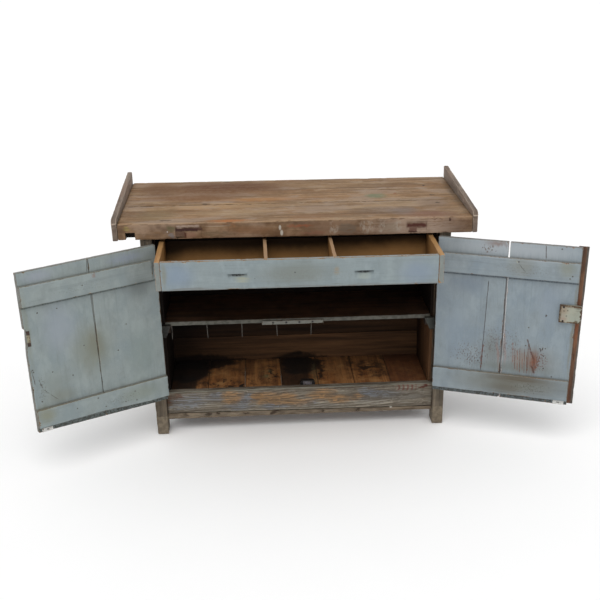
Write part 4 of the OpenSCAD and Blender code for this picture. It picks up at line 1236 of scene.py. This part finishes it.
# %% Panels and boards of the case
rail_cut = ((-2000, 39, 57), (2000, 52, 182.5))
for side, x in (("left", -INNER), ("right", CLEAR)):
    board(f"side_panel_{side}", SIDE, "dark_wood", (x, 40, 58), (x + 18, DEEP, UNDER), grain=2, radius=1.0,
          pitch=(6, 14, 16), cuts=[rail_cut], soft=0.5, chips=0.8)
levels = [130 + k * (UNDER - 130 - 78) / 4 for k in range(5)] + [UNDER + 1]
for k in range(5):
    board(f"back_board_{k + 1}", BACK, "dark_wood", (-600, DEEP, levels[k]), (600, 376, levels[k + 1] - 1),
          radius=1.5, pitch=(14, 8, 12), soft=0.4, chips=0.4)
joints = [k * 2 * CLEAR / 7 - CLEAR for k in range(8)]
for k in range(7):
    board(f"floor_board_{k + 1}", FLOOR, "floor_wood", (joints[k] + (1 if k else 0), 52, 158),
          (joints[k + 1], DEEP, FLOOR_Z), grain=1, radius=1.6, pitch=(10, 10, 8), soft=1.2, chips=1.6,
          ripple=0.6)
# A pale fill in joints 2 and 3 shows as a light line.
for name, finish, slot, top, filled in (("dirt", DARK, "dark_wood", 174, (1, 4, 5, 6)),
                                        ("pale_fill", PALE_JOINT_FILL, "floor_wood", 173, (2, 3))):
    piece(f"floor_joint_{name}", [block((joints[k], 54, 160), (joints[k] + 1, 358, top), grain=1, radius=0.2,
          pitch=(1, 20, 7), soft=0, chips=0, ripple=0) for k in filled], in_cabinet, finish, "frame", slot)
piece("floor_bearer_skins", [block((-CLEAR, y, 128), (CLEAR, y + 30, 158), radius=1.5, pitch=(20, 10, 10))
      for y in (52, 330)], in_cabinet, DARK, "frame", "dark_wood", "floor_bearers")
ready("case boards", "side", "back", "floor")

# %% [markdown]
# ## The shelf
# A shelf board on two cleats, with a painted stop strip nailed to its front edge and a tapered bracket at
# each end. Bent wire nails hang under it.

# %% Shelf
board("shelf", SHELF, "shelf_wood", (-CLEAR, 40, 463), (CLEAR, DEEP, 480), radius=1.5, pitch=(14, 12, 8),
      soft=1.0, chips=1.5)
piece("shelf_cleat_skins", [block((x, 40, 433), (x + 20, DEEP, 463), grain=1, radius=1.5)
      for x in (-CLEAR, CLEAR - 20)], in_cabinet, DARK, "frame", "dark_wood", "shelf_cleats")
board("shelf_stop", STOP_PAINT, "shelf_paint", (-149, 32, 458), (99, 40, 474), radius=1.2, pitch=(6, 4, 4),
      soft=0.8, chips=1.2)


def tapered(points):
    """Width shrinks from 42 to 20 mm down the bracket's taper, away from the post."""
    z = points[:, 2]
    share = np.where(z > 465, 42, 20 + 22 * ramp(z, 419, 465)) / 42
    across = np.sign(points[:, 0]) * (INNER - (INNER - np.abs(points[:, 0])) * share)
    return np.stack([across, points[:, 1], z], axis=1)


for side, low in (("left", -INNER), ("right", INNER - 42)):
    board(f"shelf_bracket_{side}", BRACKET_PAINT, "shelf_paint", (low, 22, 419), (low + 42, 40, 471), grain=2,
          radius=1.2, pitch=(4, 5, 4), chips=1.0, shape=tapered)
piece("clout_nail_heads", [nail_head((x, 32, 466), (0, -1, 0), 3.0, 1.0) for x in CLOUTS],
      in_cabinet, BLACK, "frame", "rusty_iron", "shelf_stop_nails")


def wire_nail(x, lean):
    """A wire of 1.4 mm radius with a tapered tip, bowed sideways by the square of the depth."""
    levels = np.array([60, 60, 50, 38, 26, 14, 5, 1.0, 0])
    radii = np.array([0, 1.5, 1.5, 1.4, 1.4, 1.4, 1.3, 0.7, 0])

    def bow(points):
        drop = (463 - points[:, 2]) / 60
        return points + np.outer(lean * drop ** 2, [1, 0.4, 0])

    return turned(list(zip(radii, levels))[::-1], (x, 45, 403), (0, 0, 1), around=10, bend=bow)


piece("wire_nails", [wire_nail(-510 + 140 * k, (-1.5, 2.0, -1.0, 1.5, -2.0)[k]) for k in range(5)],
      in_cabinet, WIRE, "frame", "rusty_iron", "shelf_wire_nails")
piece("runner_skins", [block((x, 33, low), (x + 20, DEEP, high), grain=1, radius=1.5)
      for x in (-CLEAR, CLEAR - 20) for low, high in ((692.6, 712.6), (822.4, UNDER))],
      in_cabinet, DARK, "frame", "dark_wood", "drawer_runners")
ready("shelf and runners", "shelf", "clout", "wire", "runner")

# %% [markdown]
# ## The catch
# A small arched block of dark iron stands on the floor behind the rail, with a bright strike in front.

# %% Catch
def arched(points):
    """Height scaled to an outline 22 mm high with shoulders of 14 mm radius."""
    off = np.clip(np.abs(points[:, 0] - 31) - 17, 0, 14)
    crown = 8 + np.sqrt(14 ** 2 - off ** 2)
    z = FLOOR_Z + (points[:, 2] - FLOOR_Z) * crown / 29
    return np.stack([points[:, 0], points[:, 1], z], axis=1)


board("catch", BLACK, "black_iron", (0, 54, FLOOR_Z), (62, 76, FLOOR_Z + 29), radius=1.5, pitch=(2, 4, 4),
      soft=0.4, chips=0.4, shape=arched)
board("catch_strike", STRIKE, "plate_metal", (13.5, 52, FLOOR_Z), (48.5, 54, FLOOR_Z + 18), radius=0.5,
      pitch=(4, 1, 4), soft=0.2, chips=0.2, ripple=0.1)
ready("catch", "catch")

# %% [markdown]
# ## The drawer
# Its front has two finger grips, half rounds scooped under a straight edge. The scoop is deepest at the
# straight edge and runs out at the foot of the half circle.

# %% Drawer
D_LOW, D_HIGH, D_OUT = 713.0, 822.0, -267.0
GRIPS, GRIP = (-231, 231), 36


def finger_grips(points, normal):
    """11 mm times (1 + dz / 36) times a fast rise from the rim of the half circle of 36 mm."""
    depth = np.zeros(len(points))
    for middle in GRIPS:
        dx, dz = points[:, 0] - middle, points[:, 2] - (D_LOW + 58)
        inside = 1 - (dx ** 2 + dz ** 2) / GRIP ** 2
        depth += 11 * np.clip(1 + dz / GRIP, 0, 1) * np.sqrt(np.clip(2.2 * inside, 0, 1)) * (dz < 0)
    return depth * (normal[:, 1] < -0.9)


grip_marks = [middle + step for middle in GRIPS for step in range(-GRIP, GRIP + 1, 2)]
board("drawer_front", DRAWER_PAINT, "drawer_paint", (-508, D_OUT, D_LOW), (508, D_OUT + 18, D_HIGH), "drawer",
      radius=2.0, soft=0.9, chips=1.4, pitch=(6, 6, 4), marks=(grip_marks, (), (770.4, 771.2)),
      carve=finger_grips)
for side, x in (("left", -528), ("right", 508)):
    skin = board(f"drawer_side_{side}", PINE, "drawer_wood", (x, D_OUT, D_LOW), (x + 20, D_OUT + 320, D_HIGH),
                 "drawer", grain=1, radius=2.0, soft=1.2, chips=1.8, pitch=(5, 8, 6))
    skin.data.materials.append(SIDE_PAINT)
    painted_to = in_cabinet(np.array([[0, D_OUT + 1.2, 0]]))[0, 1]
    ends = np.array([face.center.y for face in skin.data.polygons]) < painted_to
    skin.data.polygons.foreach_set("material_index", ends.astype(np.int32))
board("drawer_back", PINE, "drawer_wood", (-508, 39, D_LOW), (508, 53, D_HIGH - 12), "drawer", radius=1.5,
      pitch=(14, 5, 8))
board("drawer_bottom", PINE, "drawer_wood", (-508, -249, 716), (508, 39, 724), "drawer", radius=1.0,
      pitch=(16, 14, 4))
for side, x in (("left", -126), ("right", 126)):
    board(f"drawer_divider_{side}", PINE, "drawer_wood", (x - 7, -249, 724), (x + 7, 39, D_HIGH - 1.5),
          "drawer", grain=1, radius=1.5, pitch=(5, 10, 8), soft=1.0)
ready("drawer", "drawer")

# %% [markdown]
# ## The doors
# Each door is two boards held by two battens. The left door has warped out of square, and its free edge is
# worn away beside its keep. The right door's boards stand 6 mm apart, and a thin spline fills most of the
# joint. All of this is bent from straight blocks, so the grain and the wear bend with it.

# %% Door boards and battens
S0, S1, FOOT, HEAD = 1.3, 551.2, 173.0, 821.0
LOW_BATTEN, LOW_WIDTH = FOOT + 20, 88
UPPER_START, UPPER_BATTEN, UPPER_WIDTH = 26, 685, 78
JOINT = (S0 + S1) / 2


def out_of_square(points):
    """The left door's foot rises by 13 mm towards its free edge, and its head falls by 5 to 10 mm."""
    s, z = points[:, 0], points[:, 2]
    foot = 13 * ramp(s, 60, 520) * (1 - ramp(z, FOOT, FOOT + 80))
    head = (5 + 5 * ramp(s, 0, S1)) * ramp(z, HEAD - 50, HEAD)
    return points + np.outer(foot - head, [0, 0, 1])


def worn_cut(points):
    """The last 40 mm of the edge are drawn in by up to 8 mm, in a wedge from z 498 up to z 601."""
    z = points[:, 2]
    cut = 8 * ramp(z, 498, 601) * (z < 602)
    pull = cut * ramp(points[:, 0], S1 - 40, S1)
    return out_of_square(points - np.outer(pull, [1, 0, 0]))


def tapered_batten(points):
    """The lower batten's underside rises by 14 mm over its first 300 mm."""
    share = 1 - ramp(points[:, 2], LOW_BATTEN, LOW_BATTEN + LOW_WIDTH)
    return points + np.outer(14 * ramp(points[:, 0], 90, 300) * share, [0, 0, 1])


def door_wood(side, place, finish, gap, hinge_shape, free_shape, low_shape):
    """Both boards with a gap between them and both battens, each with its own warp or none."""
    body, slot = f"{side}_door", f"{side}_door_paint"
    for name, s0, s1, bend in (("hinge_board", S0, JOINT - gap / 2, hinge_shape),
                               ("free_board", JOINT + gap / 2, S1, free_shape)):
        board(f"{side}_door_{name}", finish, slot, (s0, 4.5, FOOT), (s1, BOARD_FACE, HEAD), body, place,
              f"{side}_{name}_skin", grain=2, radius=1.0, soft=0.8, chips=1.8, pitch=(7, 6, 8), ripple=0.5,
              marks=((), (), (597, 601, 602.4)), shape=bend)
    for name, s0, low, wide, bend in (("upper_batten", UPPER_START, UPPER_BATTEN, UPPER_WIDTH, None),
                                      ("lower_batten", S0, LOW_BATTEN, LOW_WIDTH, low_shape)):
        board(f"{side}_door_{name}", finish, slot, (s0, BOARD_FACE, low), (S1, BATTEN_FACE, low + wide), body,
              place, f"{side}_{name}_skin", radius=2.2, soft=1.2, chips=2.2, pitch=(6, 5, 6), ripple=0.5,
              shape=bend)


door_wood("left", in_left_door, LEFT_PAINT, 1, out_of_square, worn_cut, tapered_batten)
door_wood("right", in_right_door, RIGHT_PAINT, 6, None, None, None)
board("right_door_cover_strip", STRIP, "strip_wood", (S1 + 22 - 40, -5.5, FOOT), (S1 + 22, 4.5, HEAD),
      "right_door", in_right_door, "right_cover_strip_skin", grain=2, radius=1.8, soft=1.6, chips=2.0,
      pitch=(6, 5, 6))
piece("right_joint_spline", [block((JOINT - 3, 8, FOOT + 2), (JOINT + 1.8, 21.8, 684), grain=2, radius=0.6,
      soft=0.5, chips=1.2, ripple=0.8, pitch=(1.5, 4, 6))], in_right_door, SPLINE, "right_door",
      "right_door_paint")
ready("doors", "left", "right")

# %% [markdown]
# ## Door fittings
# The keep, the lock and the small catch plates. The lock's case is hollow round its bolt, as in the packed
# model. Nails show as small dark heads where the boards were fixed to the battens and patched.

# %% Fittings
OUTWARD = (0, 1, 0)   # away from a door's inner face
piece("left_keep_plate", [block((S1 - 20, BOARD_FACE, 534), (S1 - 7, 24, 594), grain=2, radius=0.5,
      pitch=(3, 1, 4), soft=0.2, chips=0.3, ripple=0.1),
      *(nail_head((S1 - 14, 24, z), OUTWARD, 3, 0.8) for z in (540, 588))], in_left_door, KEEP, "left_door",
      "plate_metal", "left_door_keep")
for side, place, rise in (("left", in_left_door, 12), ("right", in_right_door, 0)):
    start, low = S1 - 56, FOOT + rise
    plate = block((start, BOARD_FACE, low), (start + 44, 24, low + 16), radius=0.4, pitch=(4, 1, 3), soft=0.3,
                  chips=0.3, ripple=0.1, cuts=[((start + 16, 22, low + 7), (start + 26, 25, low + 11))])
    piece(f"{side}_catch_plate", [plate, *(nail_head((start + step, 24, low + 8), OUTWARD, 2.2, 0.6)
          for step in (5, 38))], place, TIN, f"{side}_door", "plate_metal", f"{side}_door_catch_plate")
channel = ((S1 - 31, 26.1, 549.6), (S1 + 21, 32.9, 570.4))
board("lock_case", LOCK_PAINT, "lock_paint", (S1 - 64, BOARD_FACE, 524.5), (S1 + 20, BATTEN_FACE, 595.5),
      "right_door", in_right_door, radius=1.6, pitch=(3, 3, 3), soft=0.5, chips=0.5, ripple=0.2,
      cuts=[channel])


def screw_slot(x, height):
    """A groove 0.6 mm deep across the head."""
    return np.where((np.abs(x) < 0.8) & (height > 0.3), np.maximum(height - 0.6, 0.1), height)


piece("lock_screw_heads", [nail_head((S1 - 48, BATTEN_FACE, z), OUTWARD, 4.0, 1.5, slot=screw_slot)
      for z in (532, 588)], in_right_door, BLACK, "right_door", "rusty_iron", "lock_screws")
# Along the door and up, for the nails in the boards and then for those in the battens.
left_nails = ([(540, 441), (538, 432), (517, 376), (522, 309), (389, 382), (331, 488), (466, 415), (196, 435),
               (417, 654), (492, 653), (152, 532)],
              [(306, 268), (395, 249), (193, 221), (278, 224), (150, 254), (146, 215), (315, 724)])
right_nails = ([(426, 402), (447, 405), (442, 373), (446, 320), (481, 288), (369, 409), (375, 486),
                (439, 542), (474, 810), (183, 323)], [(515, 702), (524, 712), (318, 751)])
for side, place, nails in (("left", in_left_door, left_nails), ("right", in_right_door, right_nails)):
    heads = [nail_head((s, face - 0.35, z), OUTWARD, 2.9, 0.5)
             for spots, face in zip(nails, (BOARD_FACE, BATTEN_FACE)) for s, z in spots]
    piece(f"{side}_door_nail_heads", heads, place, NAIL, f"{side}_door", "rusty_iron")
ready("fittings", "left_keep", "left_catch", "right_catch", "lock", "left_door", "right_door")

# %% [markdown]
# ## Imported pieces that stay
# Hinges and the lock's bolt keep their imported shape, so that they turn and slide exactly as modelled. Only
# their finish changes.

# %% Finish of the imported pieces
for name in ("hinge_post_leaves", "hinge_pins", "left_door_hinge_leaves", "right_door_hinge_leaves",
             "lock_bolt"):
    for slot in frame["nodes"][name].material_slots:
        slot.material = RUST
print("packed pieces dressed")

# %% [markdown]
# ## Camera, light and floor
# The camera stands where the photograph was taken: almost 4 m in front, 1.9 m up, looking down 27.5
# degrees. Its picture was cropped, which the shift repeats. Light is soft and white: a bright sky and one
# large soft lamp above the front.

# %% Camera
def turn(axis, degrees):
    """Rotation matrix about one axis."""
    c, s = math.cos(math.radians(degrees)), math.sin(math.radians(degrees))
    b, a = (axis + 1) % 3, (axis + 2) % 3
    matrix = np.eye(3)
    matrix[b, b], matrix[b, a], matrix[a, b], matrix[a, a] = c, -s, s, c
    return matrix


SENSOR, PICTURE, FOCAL, CENTRE = 36.0, 600, 1026.01, (344.65, 444.59)   # millimetres, then pixels
view = turn(2, -5.0) @ turn(0, -27.5) @ turn(1, 0.05)
eye = bpy.data.cameras.new("photo_view")
eye.sensor_width, eye.lens = SENSOR, FOCAL / PICTURE * SENSOR
eye.shift_x, eye.shift_y = (PICTURE / 2 - CENTRE[0]) / PICTURE, (CENTRE[1] - PICTURE / 2) / PICTURE
camera = bpy.data.objects.new("photo_view", eye)
stand = np.eye(4)
stand[:3, 0], stand[:3, 1], stand[:3, 2] = view[:, 0], view[:, 2], -view[:, 1]
stand[:3, 3] = (-0.193246, -4.034518, 1.93923)
camera.matrix_world = Matrix(stand)
bpy.context.scene.collection.objects.link(camera)
bpy.context.scene.camera = camera
print("camera at", stand[:3, 3], "lens", round(eye.lens, 2))

# %% [markdown]
# The sky is a little weaker overhead, so that upright faces are as bright as in the photograph. The floor
# is nearly white and takes a soft shadow.

# %% Lights and floor
def soft_sun(name, turned_to, height, spread, strength):
    """A sun whose light comes from an azimuth and a height in degrees, softened by its spread."""
    light = bpy.data.lights.new(name, "SUN")
    light.angle, light.energy = math.radians(spread), strength
    thing = bpy.data.objects.new(name, light)
    side, up = math.radians(turned_to), math.radians(height)
    back = np.array([math.sin(side) * math.cos(up), -math.cos(side) * math.cos(up), math.sin(up)])
    right = np.cross([0, 0, 1], back)
    right /= np.linalg.norm(right)
    matrix = np.eye(4)
    matrix[:3, 0], matrix[:3, 1], matrix[:3, 2], matrix[:3, 3] = right, np.cross(back, right), back, 3 * back
    thing.matrix_world = Matrix(matrix)
    bpy.context.scene.collection.objects.link(thing)


soft_sun("lamp_above_front", turned_to=-12, height=58, spread=50, strength=1.5)
world = bpy.data.worlds.new("white_studio")
world.use_nodes = True
studio = Sheet.of(world, "Background")
studio.shader.inputs["Color"].default_value = (1, 1, 1, 1)
upward = studio.split(studio.node("TexCoord", {}, 0))[2]
strength = 1.0 - studio.step(upward, 0.0, 0.35) * 0.32
studio.tree.links.new(strength.socket, studio.shader.inputs["Strength"])
bpy.context.scene.world = world
bpy.context.scene.view_settings.view_transform = "Standard"
pale = Sheet("pale_floor", Roughness=0.9)
speck = pale.noise(pale.node("TexCoord", {}, 3), 3, 2.0)
pale.colour = pale.mix(speck, (0.95, 0.95, 0.95, 1), (0.97, 0.97, 0.97, 1))
pale.lay(0.9 + speck * 0.05, speck, 0.0002)
ground = bpy.data.meshes.new("studio_floor")
reach = 60
ground.from_pydata([(-reach, -reach, 0), (reach, -reach, 0), (reach, reach, 0), (-reach, reach, 0)], [],
                   [(0, 1, 2, 3)])
ground.materials.append(pale.material)
floor = bpy.data.objects.new("studio_floor", ground)
bpy.context.scene.collection.objects.link(floor)
print("light and floor ready")

# %% [markdown]
# ## Last look
# The count of dressed pieces and of their faces. The dressed object must stay inside the imported model's
# box.

# %% Pieces and faces
print(len(made), "pieces,", sum(count for _, count, _ in made), "faces")
